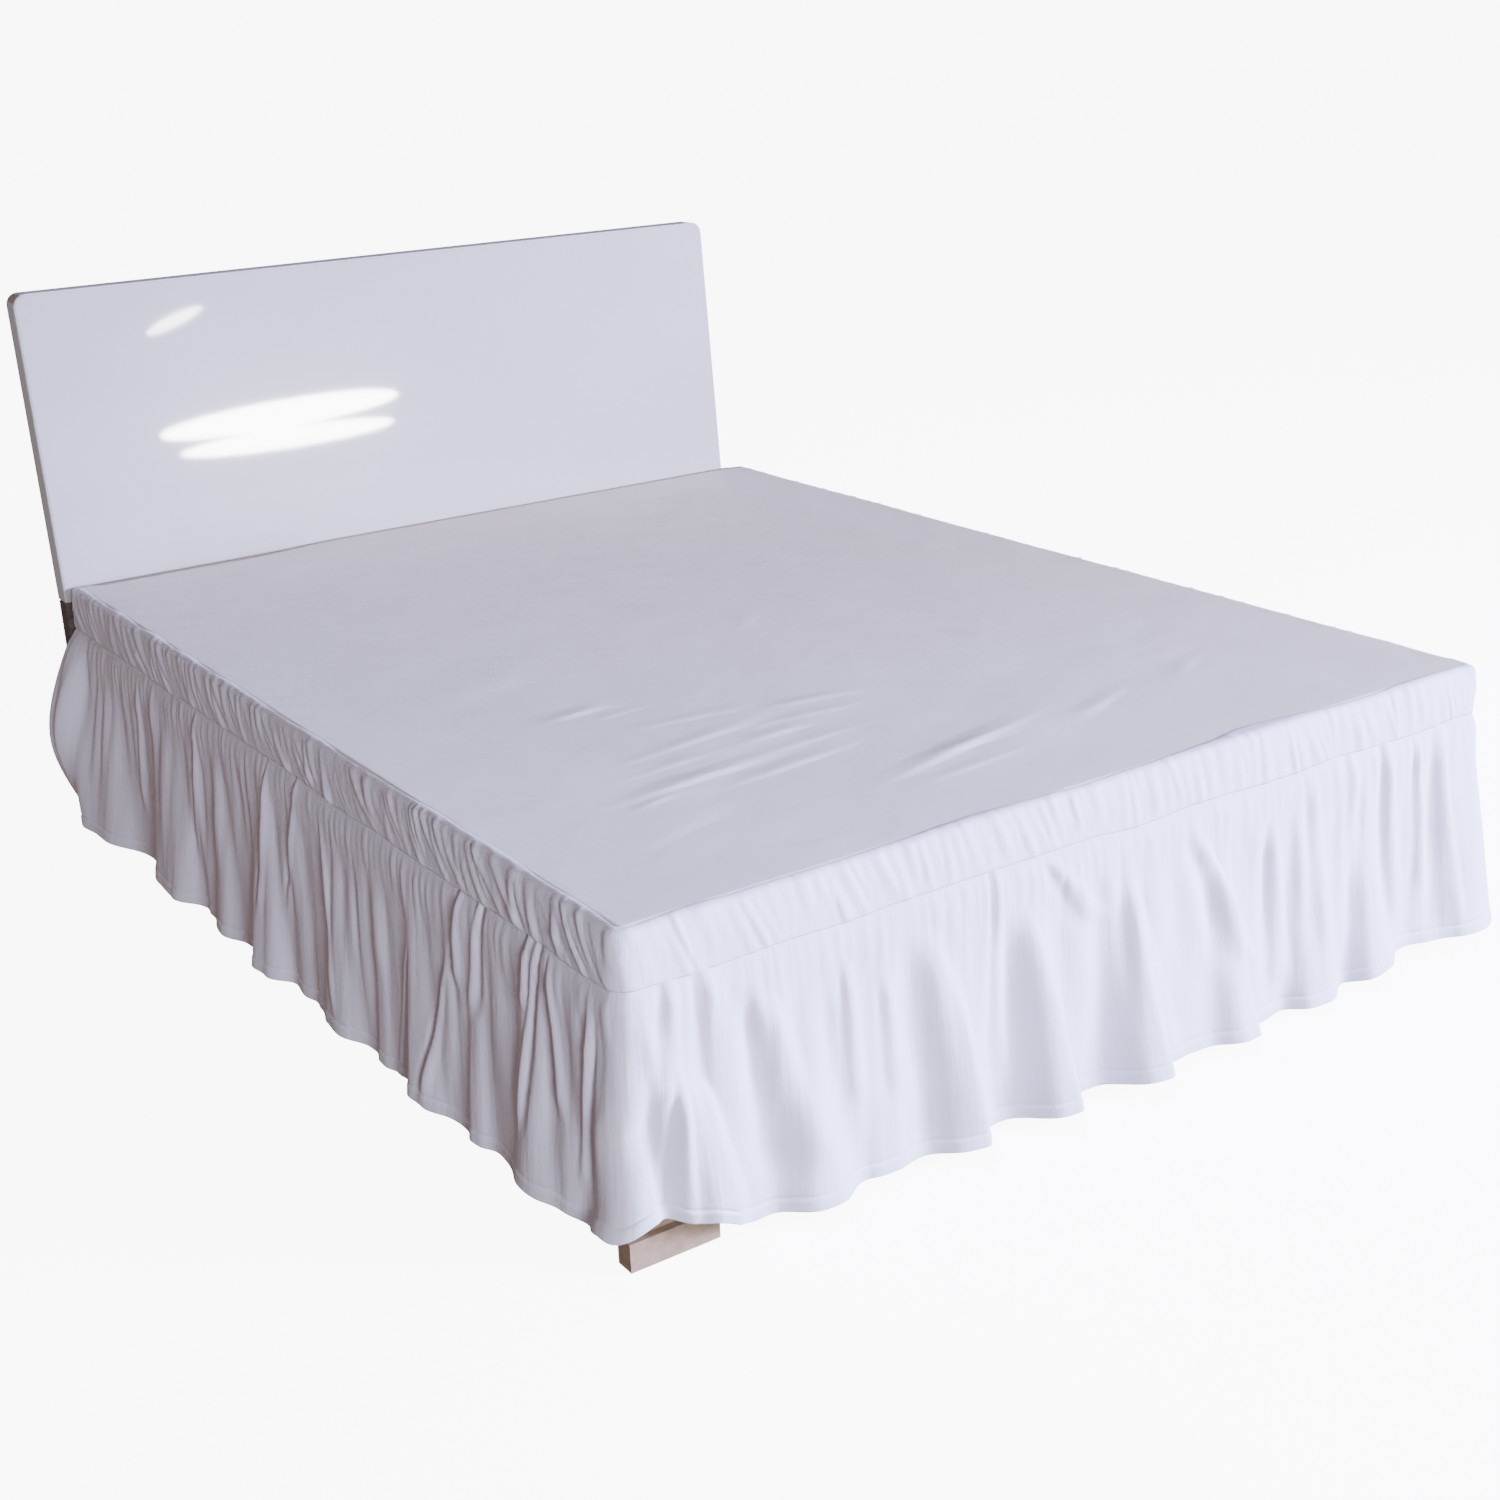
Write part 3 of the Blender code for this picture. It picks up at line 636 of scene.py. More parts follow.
def streaked(run, height):
    """How far the listed creases stand out of the ruffle."""
    out = np.zeros_like(height)
    for streak in STREAKS:
        run0 = run_of(streak.side, streak.place0)
        run1 = run_of(streak.side, streak.place1)
        share = (height - streak.height0) / (streak.height1 - streak.height0)
        aside = run - (run0 + (run1 - run0) * share)
        if abs(run1 - run0) > abs(streak.height1 - streak.height0):
            share = (run - run0) / (run1 - run0)
            aside = height - (streak.height0 + (streak.height1 - streak.height0) * share)
        start = eased((share + STREAK_FADE) / (2 * STREAK_FADE))
        ends = start * (1 - eased((share - 1 + STREAK_FADE) / (2 * STREAK_FADE)))
        widening = (1 - STREAK_WIDTH_ABOVE) * np.clip(share, 0.0, STREAK_WIDENS_TO)
        before = streak.before * (STREAK_WIDTH_ABOVE + widening)
        after = streak.after * (STREAK_WIDTH_ABOVE + widening)
        valley = ridge(aside + VALLEY_AT * before, VALLEY_WIDTH * before)
        out += streak.depth * ends * (ridge(aside, before, after) - VALLEY * valley)
    return out


def ruffle_sheet(runs, falls, proud=0.0):
    """Points of the ruffle, a column for each run and a row for each fall."""
    run = np.array(runs)[:, None]
    fall = np.atleast_2d(falls)
    places, outs = along_edge(runs)
    main = standing_out(run, fall)
    seam = BAND_FOOT - SEAM_GAP + seam_shift(run, 1)
    hem = hem_height(run)
    lift = (standing_out(run, np.ones((1, 1))) - BAND_PROUD) ** 2 / (2 * (seam - hem))
    drop = seam - hem - lift
    height = seam - drop * fall
    from_hem = drop * (1 - fall)
    out = main + gathered(run, fall) + streaked(run, height)
    out += HEM_STEP * (1 - eased((from_hem - HEM_TURN) / HEM_STEP_OVER + 0.5))
    out -= HEM_GROOVE * ridge(from_hem - HEM_TURN, HEM_GROOVE_WIDTH)
    out += RUFFLE_PUFF * ridge(fall - RUFFLE_PUFF_AT, RUFFLE_PUFF_AT, RUFFLE_PUFF_FLANK)
    out -= TUCK_DEPTH * (1 - eased((fall + TUCK_RISE) / (TUCK_RISE + TUCK_EASE)))
    out = np.maximum(out, BAND_PROUD * LEAST_OUT) + proud - SHEET_LINE
    return off_edge(places, outs, out, height)


def slipped(run):
    """How far the band's upper seam has slipped on to the deck at a run."""
    slips = [
        slip.depth * ridge(run - run_of(slip.side, slip.place), slip.before, slip.after)
        for slip in SLIPS
    ]
    return sum(slips) + seam_shift(run, 0) + BAND_SLIP


def foot_share(run):
    """1 along the foot and 0 along the sides, changing over softly at the corners."""
    on_from = eased((run - LEFT_JOIN + CORNER_CHANGE) / (2 * CORNER_CHANGE))
    return on_from * (1 - eased((run - RIGHT_JOIN + CORNER_CHANGE) / (2 * CORNER_CHANGE)))


def over_edge(turn, puff):
    """Points of the cloth at a length turn past the start of the deck's roll."""
    angle = np.clip(turn, 0.0, QUARTER_ROLL) / ROLL_RADIUS
    reach = -ROLL_RADIUS + ROLL_RADIUS * np.sin(angle) + np.minimum(turn, 0.0) - SHEET_LINE
    height = SHEET_TOP - ROLL_RADIUS * (1 - np.cos(angle)) - np.maximum(turn - QUARTER_ROLL, 0.0)
    height = height + puff * ridge(turn - PUFF_TURN, PUFF_REACH)
    return reach, height


def band_sheet(runs, falls, proud=0.0):
    """Points of the heading band, fall being 0 at the deck's seam and 1 at its foot."""
    run = np.array(runs)[:, None]
    fall = np.array(falls)[None, :]
    places, outs = along_edge(runs)
    last = QUARTER_ROLL + SHEET_TOP - ROLL_RADIUS - BAND_FOOT - SEAM_GAP - seam_shift(run, 1)
    slip = slipped(run)
    on_foot = foot_share(run)
    first = DECK_SEAM + SEAM_GAP - slip
    turn = first + (last - first) * fall
    reach, height = over_edge(turn, EDGE_PUFF * eased(fall / PUFF_OVER))
    puffed = np.sin(np.pi / 2 * np.minimum(fall * BAND_FILL, 1.0))
    held = np.minimum(np.minimum(fall, 1 - fall) / SHIRR_HELD_OVER, 1.0)
    kept = SHIRR_AT_SEAMS + (1 - SHIRR_AT_SEAMS) * held
    shirr = shirred(run, fall) * kept * (1 - (1 - SHIRR_ON_FOOT) * on_foot)
    tuck = BAND_TUCK * ridge(fall - 1.0, BAND_TUCK_REACH)
    reach = reach + BAND_PROUD * puffed + shirr * eased(fall / SHIRR_FROM_TOP) - tuck + proud
    lying = 1 - eased(fall / LYING_OVER)
    sewn = 1 - eased(fall / SEWN_OVER)
    rise = LYING_RISE * (RISE_ON_SIDE + (1 - RISE_ON_SIDE) * on_foot)
    lift = SHIRR_LIFT * shirr * ridge(fall - SHIRR_LIFT_AT, SHIRR_LIFT_OVER)
    height = height + rise * lying - (rise + SEWN_UNDER) * sewn + lift
    return off_edge(places, outs, reach, height)


def shirred(run, fall):
    """The fine slanting gathers of the band."""
    out = np.zeros(np.broadcast(run, fall).shape)
    for place, before, after, depth, lean, share, tall in SHIRRS:
        near = near_to(run, place, SHIRR_PITCH[1] + SHIRR_LEAN[1])
        if near.any():
            flank = SHIRR_LENGTH[0] + SHIRR_LENGTH[1] * tall
            leant = lean * (1 - (1 - SHIRR_LEAN_ON_FOOT) * foot_share(place))
            aside = run[near] - place - leant * (fall - 0.5)
            shape = ridge(aside, before * GATHER_FLANK, after * GATHER_FLANK)
            out[near] += depth * ridge(fall - share, flank) * shape
    return out


def linked(name, data):
    """A new object of some data, linked to the scene."""
    made = bpy.data.objects.new(name, data)
    bpy.context.scene.collection.objects.link(made)
    return made


def cloth_object(name, points, faces, flat, finish):
    """A cloth sheet of points and faces, with its flat place in metres as its UVs."""
    mesh = bpy.data.meshes.new(name)
    mesh.from_pydata(points, [], faces)
    layer = mesh.uv_layers.new(name="flat")
    order = np.array([vert for face in faces for vert in face])
    layer.data.foreach_set("uv", np.array(flat)[order].ravel())
    mesh.materials.append(finish)
    mesh.shade_smooth()
    cloth = linked(name, mesh)
    wall = cloth.modifiers.new("cotton", "SOLIDIFY")
    wall.thickness = COTTON
    wall.offset = 0.0
    return cloth


def sheet_object(name, points, lengths, finish):
    """A cloth sheet from columns of points and their lengths on the flat cloth."""
    columns, rows = points.shape[:2]
    number = np.arange(columns * rows).reshape(columns, rows)
    corners = (number[:-1, :-1], number[:-1, 1:], number[1:, 1:], number[1:, :-1])
    faces = np.stack([corner.ravel() for corner in corners], axis=1).tolist()
    flat = np.stack(lengths, axis=2).reshape(-1, 2)
    return cloth_object(name, points.reshape(-1, 3).tolist(), faces, flat, finish)


def laid_flat(points):
    """How far each point is along its row and down its column, on the flat cloth."""
    across = np.linalg.norm(np.diff(points, axis=0), axis=2)
    down = np.linalg.norm(np.diff(points, axis=1), axis=2)
    across = np.concatenate([np.zeros((1, points.shape[1])), np.cumsum(across, axis=0)])
    down = np.concatenate([np.zeros((points.shape[0], 1)), np.cumsum(down, axis=1)], axis=1)
    return np.broadcast_to(across.mean(axis=1, keepdims=True), down.shape), down


def columns_between(start, end, step):
    """The runs of a sheet's columns, close together round the corners."""
    arcs = (SIDE_RUN, SIDE_RUN + ARC_RUN, WHOLE_RUN - SIDE_RUN - ARC_RUN, WHOLE_RUN - SIDE_RUN)
    marks = [start, *(mark for mark in arcs if start < mark < end), end]
    columns = []
    for low, high in zip(marks, marks[1:]):
        fine = min(step, ARC_RUN / ARC_COLUMNS) if high - low <= ARC_RUN else step
        count = max(round((high - low) / fine), 1)
        columns += [low + (high - low) * index / count for index in range(count)]
    return columns + [end]


def lapped(start, end, step):
    """The runs of a panel's columns with a lap beyond each join, and how deep it lies."""
    first = start - JOIN_LAP if start > 0 else start
    last = end + JOIN_LAP if end < WHOLE_RUN else end
    runs = columns_between(first, last, step)
    beyond = np.maximum(np.maximum(start - np.array(runs), np.array(runs) - end), 0.0)
    return runs, -JOIN_DEPTH * eased(beyond / JOIN_LAP)[:, None]


def make_ruffles(finish):
    """The three gathered panels under the band."""
    long_rows = np.linspace(0, HEM_ROWS_FROM, RUFFLE_ROWS[0] + 1)
    hem_rows = np.linspace(HEM_ROWS_FROM, 1, RUFFLE_ROWS[1] + 1)
    falls = [-TUCK_RISE, -TUCK_RISE / 2, *long_rows, *hem_rows[1:]]
    for side, start, end in PANELS:
        runs, proud = lapped(start, end, RUFFLE_STEP)
        points = ruffle_sheet(runs, falls, proud)
        flat = laid_flat(points)
        ruffle = sheet_object(f"gathered_ruffle_{side}", points, flat, finish)
        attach(ruffle, "root")
        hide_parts(f"ruffle_{side}")


def make_bands(finish):
    """The three shirred heading bands."""
    for side, start, end in PANELS:
        runs, proud = lapped(start, end, BAND_STEP)
        points = band_sheet(runs, np.linspace(0, 1, BAND_ROWS + 1), proud)
        flat = laid_flat(points)
        band = sheet_object(f"shirred_band_{side}", points, flat, finish)
        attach(band, "root")
        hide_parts(f"band_{side}")


def soft_creases():
    """Low creases strewn over the deck panel, most of them across the bed."""
    dice = np.random.default_rng(SOFT_SEED)
    creases = []
    for _ in range(SOFT_COUNT):
        x, y = dice.uniform(*SOFT_X), dice.uniform(*SOFT_Y)
        length, turn = dice.uniform(*SOFT_LENGTH), dice.uniform(*SOFT_TURN)
        along = (length * math.cos(turn), length * math.sin(turn))
        height, width = dice.uniform(*SOFT_HEIGHT), dice.uniform(*SOFT_WIDTH)
        creases.append(Crease(x, y, x + along[0], y + along[1], height, width))
    return creases


def creased(x, y, creases):
    """How high a table of creases lifts the deck panel at arrays of points."""
    height = np.zeros_like(x)
    for crease in creases:
        along_x = crease.x1 - crease.x0
        along_y = crease.y1 - crease.y0
        length = math.hypot(along_x, along_y)
        share = ((x - crease.x0) * along_x + (y - crease.y0) * along_y) / length**2
        aside = ((x - crease.x0) * along_y - (y - crease.y0) * along_x) / length
        ends = ridge(2 * share - 1, CREASE_ENDS)
        height += crease.height * ends * ridge(aside, BEHIND * crease.flank, crease.flank)
    return height


def deck_rows():
    """The y of each row of the deck's grid, close together at its rounded corners."""
    inner_foot = FOOT_END + STRIP_INSET
    inner_radius = CORNER_RADIUS - STRIP_INSET
    turns = [math.pi / 2 * step / CORNER_STEPS for step in range(CORNER_STEPS)]
    rows = [inner_foot + inner_radius * (1 - math.cos(turn)) for turn in turns]
    start = inner_foot + inner_radius
    for span in DECK_SPANS:
        count = round((span.end - start) / span.step)
        rows += [start + (span.end - start) * index / count for index in range(count)]
        start = span.end
    return rows + [start]


def deck_half_width(y):
    """Half the width of the deck's grid in a row."""
    inner_radius = CORNER_RADIUS - STRIP_INSET
    half = HALF_WIDTH - STRIP_INSET
    below = CORNER_Y - y
    if below <= 0:
        return half
    return half - inner_radius + math.sqrt(max(inner_radius**2 - below**2, 0.0))


def run_near(x, y):
    """The run of the edge point nearest to a point of the deck grid's outline."""
    if y >= CORNER_Y:
        return HEAD_END - y if x < 0 else WHOLE_RUN - (HEAD_END - y)
    if abs(x) <= CORNER_X:
        return SIDE_RUN + ARC_RUN + x + CORNER_X
    angle = math.atan2(CORNER_Y - y, abs(x) - CORNER_X)
    if x < 0:
        return SIDE_RUN + angle * CORNER_RADIUS
    return WHOLE_RUN - SIDE_RUN - angle * CORNER_RADIUS


def make_deck(finish):
    """The deck panel: creased where it lies, tucked to the headboard, rolled at its rim."""
    rows = np.array(deck_rows())
    halves = np.array([deck_half_width(y) for y in rows])
    x = np.linspace(-1, 1, DECK_COLUMNS + 1)[:, None] * halves[None, :]
    y = np.broadcast_to(rows, x.shape)
    tucked = eased((x - HEAD_TUCK_FROM) / HEAD_TUCK_OVER)
    tuck = (HEAD_TUCK + HEAD_SLACK) * tucked - HEAD_SLACK
    inner = eased((halves[None, :] - np.abs(x)) / RIM_FLAT)
    inner = inner * eased((y - FOOT_END - STRIP_INSET) / RIM_FLAT)
    soft = creased(x, y, CREASES) + creased(x, y, soft_creases())
    z = SHEET_TOP + soft * inner
    y_tucked = y + tuck * eased((y - HEAD_END) / HEAD_TUCK_LENGTH + 1) * inner
    number = np.arange(x.size).reshape(x.shape)
    rim = [*number[0, ::-1], *number[1:, 0], *number[-1, 1:]]
    points = np.stack([x, y_tucked, z], axis=2).reshape(-1, 3).tolist()
    flat = np.stack([x, y], axis=2).reshape(-1, 2).tolist()
    corners = (number[:-1, :-1], number[1:, :-1], number[1:, 1:], number[:-1, 1:])
    faces = np.stack([corner.ravel() for corner in corners], axis=1).tolist()
    runs = [run_near(points[vert][0], rows[vert % len(rows)]) for vert in rim]
    places, outs = along_edge(runs)
    run = np.array(runs)[:, None]
    flat_turn = ROLL_RADIUS - STRIP_INSET
    step = (DECK_SEAM - SEAM_GAP - flat_turn) / DECK_RINGS
    for ring in range(1, DECK_RINGS + 1):
        reach, height = over_edge(np.full_like(run, flat_turn + step * ring), 0.0)
        spots = np.concatenate([places + outs * reach, height], axis=1)
        grown = list(range(len(points), len(points) + len(rim)))
        flat += [
            [flat[vert][0] + out[0] * step, flat[vert][1] + out[1] * step]
            for vert, out in zip(rim, outs)
        ]
        points += spots.tolist()
        faces += [
            [near, far, grown_far, grown_near]
            for near, far, grown_far, grown_near in zip(rim[1:], rim, grown, grown[1:])
        ]
        rim = grown
    deck = cloth_object("deck_panel", points, faces, flat, finish)
    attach(deck, "root")
    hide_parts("deck")


def make_thread_tree(finish):
    """The node tree that sets a stitch at each pitch along lines of edges."""
    tree = bpy.data.node_groups.new("row_of_stitches", "GeometryNodeTree")
    face = tree.interface
    face.new_socket(name="Geometry", in_out="INPUT", socket_type="NodeSocketGeometry")
    sizes = {"Pitch": STITCH_PITCH, "Length": STITCH_LENGTH, "Radius": STITCH_RADIUS}
    for name, value in sizes.items():
        socket = face.new_socket(name=name, in_out="INPUT", socket_type="NodeSocketFloat")
        socket.default_value = value
    face.new_socket(name="Geometry", in_out="OUTPUT", socket_type="NodeSocketGeometry")
    nodes = tree.nodes
    given = nodes.new("NodeGroupInput")
    result = nodes.new("NodeGroupOutput")
    line = nodes.new("GeometryNodeMeshToCurve")
    spaced = nodes.new("GeometryNodeResampleCurve")
    spaced.mode = "LENGTH"
    stitch = nodes.new("GeometryNodeMeshUVSphere")
    stitch.inputs["Segments"].default_value = STITCH_SIDES
    stitch.inputs["Rings"].default_value = STITCH_RINGS
    stitch.inputs["Radius"].default_value = 1.0
    half = nodes.new("ShaderNodeMath")
    half.operation = "MULTIPLY"
    half.inputs[1].default_value = 0.5
    size = nodes.new("ShaderNodeCombineXYZ")
    ahead = nodes.new("GeometryNodeInputTangent")
    turn = nodes.new("FunctionNodeAlignRotationToVector")
    turn.axis = "Z"
    placed = nodes.new("GeometryNodeInstanceOnPoints")
    real = nodes.new("GeometryNodeRealizeInstances")
    dyed = nodes.new("GeometryNodeSetMaterial")
    dyed.inputs["Material"].default_value = finish
    for source, output, target, socket in (
        (given, "Geometry", line, "Mesh"),
        (line, "Curve", spaced, "Curve"),
        (given, "Pitch", spaced, "Length"),
        (given, "Length", half, 0),
        (given, "Radius", size, "X"),
        (given, "Radius", size, "Y"),
        (half, 0, size, "Z"),
        (ahead, "Tangent", turn, "Vector"),
        (spaced, "Curve", placed, "Points"),
        (stitch, "Mesh", placed, "Instance"),
        (turn, "Rotation", placed, "Rotation"),
        (size, "Vector", placed, "Scale"),
        (placed, "Instances", real, "Geometry"),
        (real, "Geometry", dyed, "Geometry"),
        (dyed, "Geometry", result, "Geometry"),
    ):
        tree.links.new(source.outputs[output], target.inputs[socket])
    return tree


def stitch_lines():
    """The lines that the stitches follow: both seams of the band, and the hem."""
    runs = np.linspace(STITCH_LINE_INSET, WHOLE_RUN - STITCH_LINE_INSET, STITCH_LINE_POINTS)
    proud = COTTON / 2 + STITCH_RADIUS / 2
    ends = ruffle_sheet(runs, [0.0, 1.0])
    drop = ends[:, :1, 2] - ends[:, 1:, 2]
    hem = ruffle_sheet(runs, 1 - (HEM_TURN + HEM_STITCH_INSET) / drop, proud)[:, 0]
    top = ruffle_sheet(runs, SEAM_STITCH_INSET / drop, proud)[:, 0]
    upper = band_sheet(runs, [UPPER_STITCH_FALL], proud)[:, 0]
    lower = band_sheet(runs, [LOWER_STITCH_FALL], proud)[:, 0]
    return [hem, top, upper, lower]


def make_stitches(thread):
    """Rows of stitches along the seams and the hem, as one mesh."""
    points = []
    edges = []
    for line in stitch_lines():
        first = len(points)
        points += line.tolist()
        edges += [(index, index + 1) for index in range(first, len(points) - 1)]
    mesh = bpy.data.meshes.new("seam_lines")
    mesh.from_pydata(points, edges, [])
    lines = linked("seam_lines", mesh)
    sewing = lines.modifiers.new("stitches", "NODES")
    sewing.node_group = make_thread_tree(thread)
    evaluated = lines.evaluated_get(bpy.context.evaluated_depsgraph_get())
    sewn = bpy.data.meshes.new_from_object(evaluated)
    sewn.name = "seam_stitches"
    sewn.shade_smooth()
    bpy.data.objects.remove(lines)
    stitches = linked("seam_stitches", sewn)
    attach(stitches, "root")


def new_finish(name, colour, look):
    """A material with its Principled shader and its node tree's two lists."""
    finish = bpy.data.materials.new(name)
    finish.use_nodes = True
    nodes = finish.node_tree.nodes
    shader = nodes["Principled BSDF"]
    shader.inputs["Base Color"].default_value = (*colour, 1.0)
    for socket, value in look.items():
        shader.inputs[socket].default_value = value
    return finish, shader, nodes, finish.node_tree.links


def object_place(nodes):
    """The socket of a point's place in its object's own frame."""
    return nodes.new("ShaderNodeTexCoord").outputs["Object"]


def mixed_in(nodes, links, factor, colour, other, blend):
    """A colour with another blended in by a factor."""
    mix = nodes.new("ShaderNodeMix")
    mix.data_type = "RGBA"
    mix.blend_type = blend
    mix.inputs["B"].default_value = (*other, 1.0)
    links.new(factor, mix.inputs["Factor"])
    links.new(colour, mix.inputs["A"])
    return mix.outputs["Result"]


def noise_on(nodes, links, source, noise):
    """A noise on stretched coordinates, as its factor socket."""
    mapping = nodes.new("ShaderNodeMapping")
    mapping.inputs["Scale"].default_value = noise.stretch
    links.new(source, mapping.inputs["Vector"])
    texture = nodes.new("ShaderNodeTexNoise")
    texture.inputs["Scale"].default_value = noise.scale
    texture.inputs["Detail"].default_value = noise.detail
    links.new(mapping.outputs["Vector"], texture.inputs["Vector"])
    return texture.outputs["Fac"]


def threads_on(nodes, links, source, direction):
    """The ridges of the threads that run one way, as a factor socket."""
    wave = nodes.new("ShaderNodeTexWave")
    wave.bands_direction = direction
    wave.inputs["Scale"].default_value = 2 * math.pi / (WAVE_TURN * THREAD_PITCH)
    wave.inputs["Distortion"].default_value = THREAD_UNEVEN
    links.new(source, wave.inputs["Vector"])
    return wave.outputs["Fac"]


def bump_on(nodes, links, height, distance, under=None):
    """A bump of a height field, over another bump where there is one."""
    bump = nodes.new("ShaderNodeBump")
    bump.inputs["Strength"].default_value = 1.0
    bump.inputs["Distance"].default_value = distance
    links.new(height, bump.inputs["Height"])
    if under is not None:
        links.new(under, bump.inputs["Normal"])
    return bump.outputs["Normal"]


def tinted(nodes, links, factor, low, high):
    """A colour between two, by a factor."""
    ramp = nodes.new("ShaderNodeValToRGB")
    for element, position, colour in zip(ramp.color_ramp.elements, TINT_ENDS, (low, high)):
        element.position = position
        element.color = (*colour, 1.0)
    links.new(factor, ramp.inputs["Fac"])
    return ramp.outputs["Color"]


def painted_far_shade(nodes, links, white):
    """Painted shade: a white that turns duller and warmer towards the far right end of the bed."""
    turned = nodes.new("ShaderNodeVectorMath")
    turned.operation = "DOT_PRODUCT"
    turned.inputs[1].default_value = (*FAR_SHADE_ALONG, 0.0)
    links.new(object_place(nodes), turned.inputs[0])
    share = nodes.new("ShaderNodeMapRange")
    share.inputs["From Min"].default_value = FAR_SHADE_SPAN[0]
    share.inputs["From Max"].default_value = FAR_SHADE_SPAN[1]
    links.new(turned.outputs["Value"], share.inputs["Value"])
    return mixed_in(nodes, links, share.outputs["Result"], white, FAR_SHADE_TINT, "MULTIPLY")


def make_cotton(cotton):
    """Washed plain woven cotton, with its own small wrinkles."""
    finish, shader, nodes, links = new_finish(cotton.name, cotton.whites[1], COTTON_LOOK)
    flat = nodes.new("ShaderNodeUVMap")
    flat.uv_map = "flat"
    source = flat.outputs["UV"]
    cloudy = noise_on(nodes, links, source, COTTON_CLOUDS)
    white = tinted(nodes, links, cloudy, *cotton.whites)
    # painted shade on the deck, darker and warmer towards its far right end
    if cotton.is_worn:
        white = painted_far_shade(nodes, links, white)
    links.new(white, shader.inputs["Base Color"])
    wrinkles = noise_on(nodes, links, source, cotton.wrinkles)
    normal = bump_on(nodes, links, wrinkles, cotton.wrinkle_depth)
    crimp = noise_on(nodes, links, source, CRIMP)
    normal = bump_on(nodes, links, crimp, cotton.crimp_depth, normal)
    for direction in ("X", "Y"):
        threads = threads_on(nodes, links, source, direction)
        normal = bump_on(nodes, links, threads, THREAD_DEPTH, normal)
    links.new(normal, shader.inputs["Normal"])
    return finish


def make_thread():
    """White sewing thread with a fine twist."""
    white = THREAD_WHITES[1]
    finish, shader, nodes, links = new_finish("sewing_thread", white, SEWING_LOOK)
    place = object_place(nodes)
    twist = noise_on(nodes, links, place, TWIST)
    links.new(bump_on(nodes, links, twist, TWIST_DEPTH), shader.inputs["Normal"])
    links.new(tinted(nodes, links, twist, *THREAD_WHITES), shader.inputs["Base Color"])
    return finish


def painted_light_edging_mask(nodes, links, place):
    """1 on the headboard's left and upper edges, whose edging is painted paler as light on faces
    in shade.
    """
    parts = nodes.new("ShaderNodeSeparateXYZ")
    links.new(place, parts.inputs["Vector"])
    tests = []
    for axis, sense, limit in (("X", "LESS_THAN", EDGING_LEFT), ("Z", "GREATER_THAN", EDGING_TOP)):
        test = nodes.new("ShaderNodeMath")
        test.operation = sense
        test.inputs[1].default_value = limit
        links.new(parts.outputs[axis], test.inputs[0])
        tests.append(test.outputs[0])
    both = nodes.new("ShaderNodeMath")
    both.operation = "MAXIMUM"
    links.new(tests[0], both.inputs[0])
    links.new(tests[1], both.inputs[1])
    return both.outputs[0]


def make_lacquer():
    """White gloss lacquer over board, with a faint unevenness in its shine, painted reflection
    blotches in its tone and painted light on its edging.
    """
    finish, shader, nodes, links = new_finish("white_lacquer", LACQUERS[0], LACQUER_LOOK)
    place = object_place(nodes)
    # painted reflection: faint paler blotches in the lacquer's tone
    cloudy = noise_on(nodes, links, place, LACQUER_PAINTED_BLOTCHES)
    tone_with_painted_blotches = tinted(nodes, links, cloudy, *LACQUERS)
    # painted light: the edging on the left and upper faces, which lie in shade, is paler
    edge = painted_light_edging_mask(nodes, links, place)
    with_painted_edging = mixed_in(nodes, links, edge, tone_with_painted_blotches, EDGING_PAINTED_LIGHT, "MIX")
    links.new(with_painted_edging, shader.inputs["Base Color"])
    coat = nodes.new("ShaderNodeMath")
    coat.operation = "SUBTRACT"
    coat.inputs[0].default_value = 1.0
    links.new(edge, coat.inputs[1])
    links.new(coat.outputs[0], shader.inputs["Coat Weight"])
    wavy = noise_on(nodes, links, place, LACQUER_WAVES)
    normal = bump_on(nodes, links, wavy, LACQUER_WAVE_DEPTH)
    peel = noise_on(nodes, links, place, LACQUER_PEEL)
    normal = bump_on(nodes, links, peel, LACQUER_PEEL_DEPTH, normal)
    links.new(normal, shader.inputs["Normal"])
    return finish


def make_wood(name, low, high, look):
    """Sawn wood with its grain along the bed's length."""
    finish, shader, nodes, links = new_finish(name, high, look)
    place = object_place(nodes)
    grain = noise_on(nodes, links, place, GRAIN)
    links.new(tinted(nodes, links, grain, low, high), shader.inputs["Base Color"])
    pores = noise_on(nodes, links, place, PORES)
    links.new(bump_on(nodes, links, pores, PORE_DEPTH), shader.inputs["Normal"])
    return finish


def finish_nodes(finishes):
    """Gives each solid that stays its finish."""
    slots = {entry["node"]: entry["material_slot"] for entry in frame["record"]["subparts"]}
    for node, slot in slots.items():
        if slot in finishes:
            solid = frame["nodes"][node]
            solid.data.materials.clear()
            solid.data.materials.append(finishes[slot])


def area_lamp(name, shape, width, height, power):
    """A lamp with an area light of some shape and size."""
    light = bpy.data.lights.new(name, "AREA")
    light.shape = shape
    light.size = width
    light.size_y = height
    light.energy = power
    return linked(name, light)


def turned_to(right, up):
    """The turn of a lamp or a camera whose right and upward directions are given."""
    return Matrix((right, up, right.cross(up))).transposed().to_4x4()


def make_window(name, window):
    """A large soft window that lights the bed and is not mirrored."""
    source = Vector(window.source).normalized()
    lamp = area_lamp(name, "RECTANGLE", window.width, window.height, window.power)
    lamp.data.color = window.colour
    lamp.location = Vector(LIT_PLACE) + window.distance * source
    lamp.rotation_euler = source.to_track_quat("Z", "Y").to_euler()
    lamp.visible_glossy = False


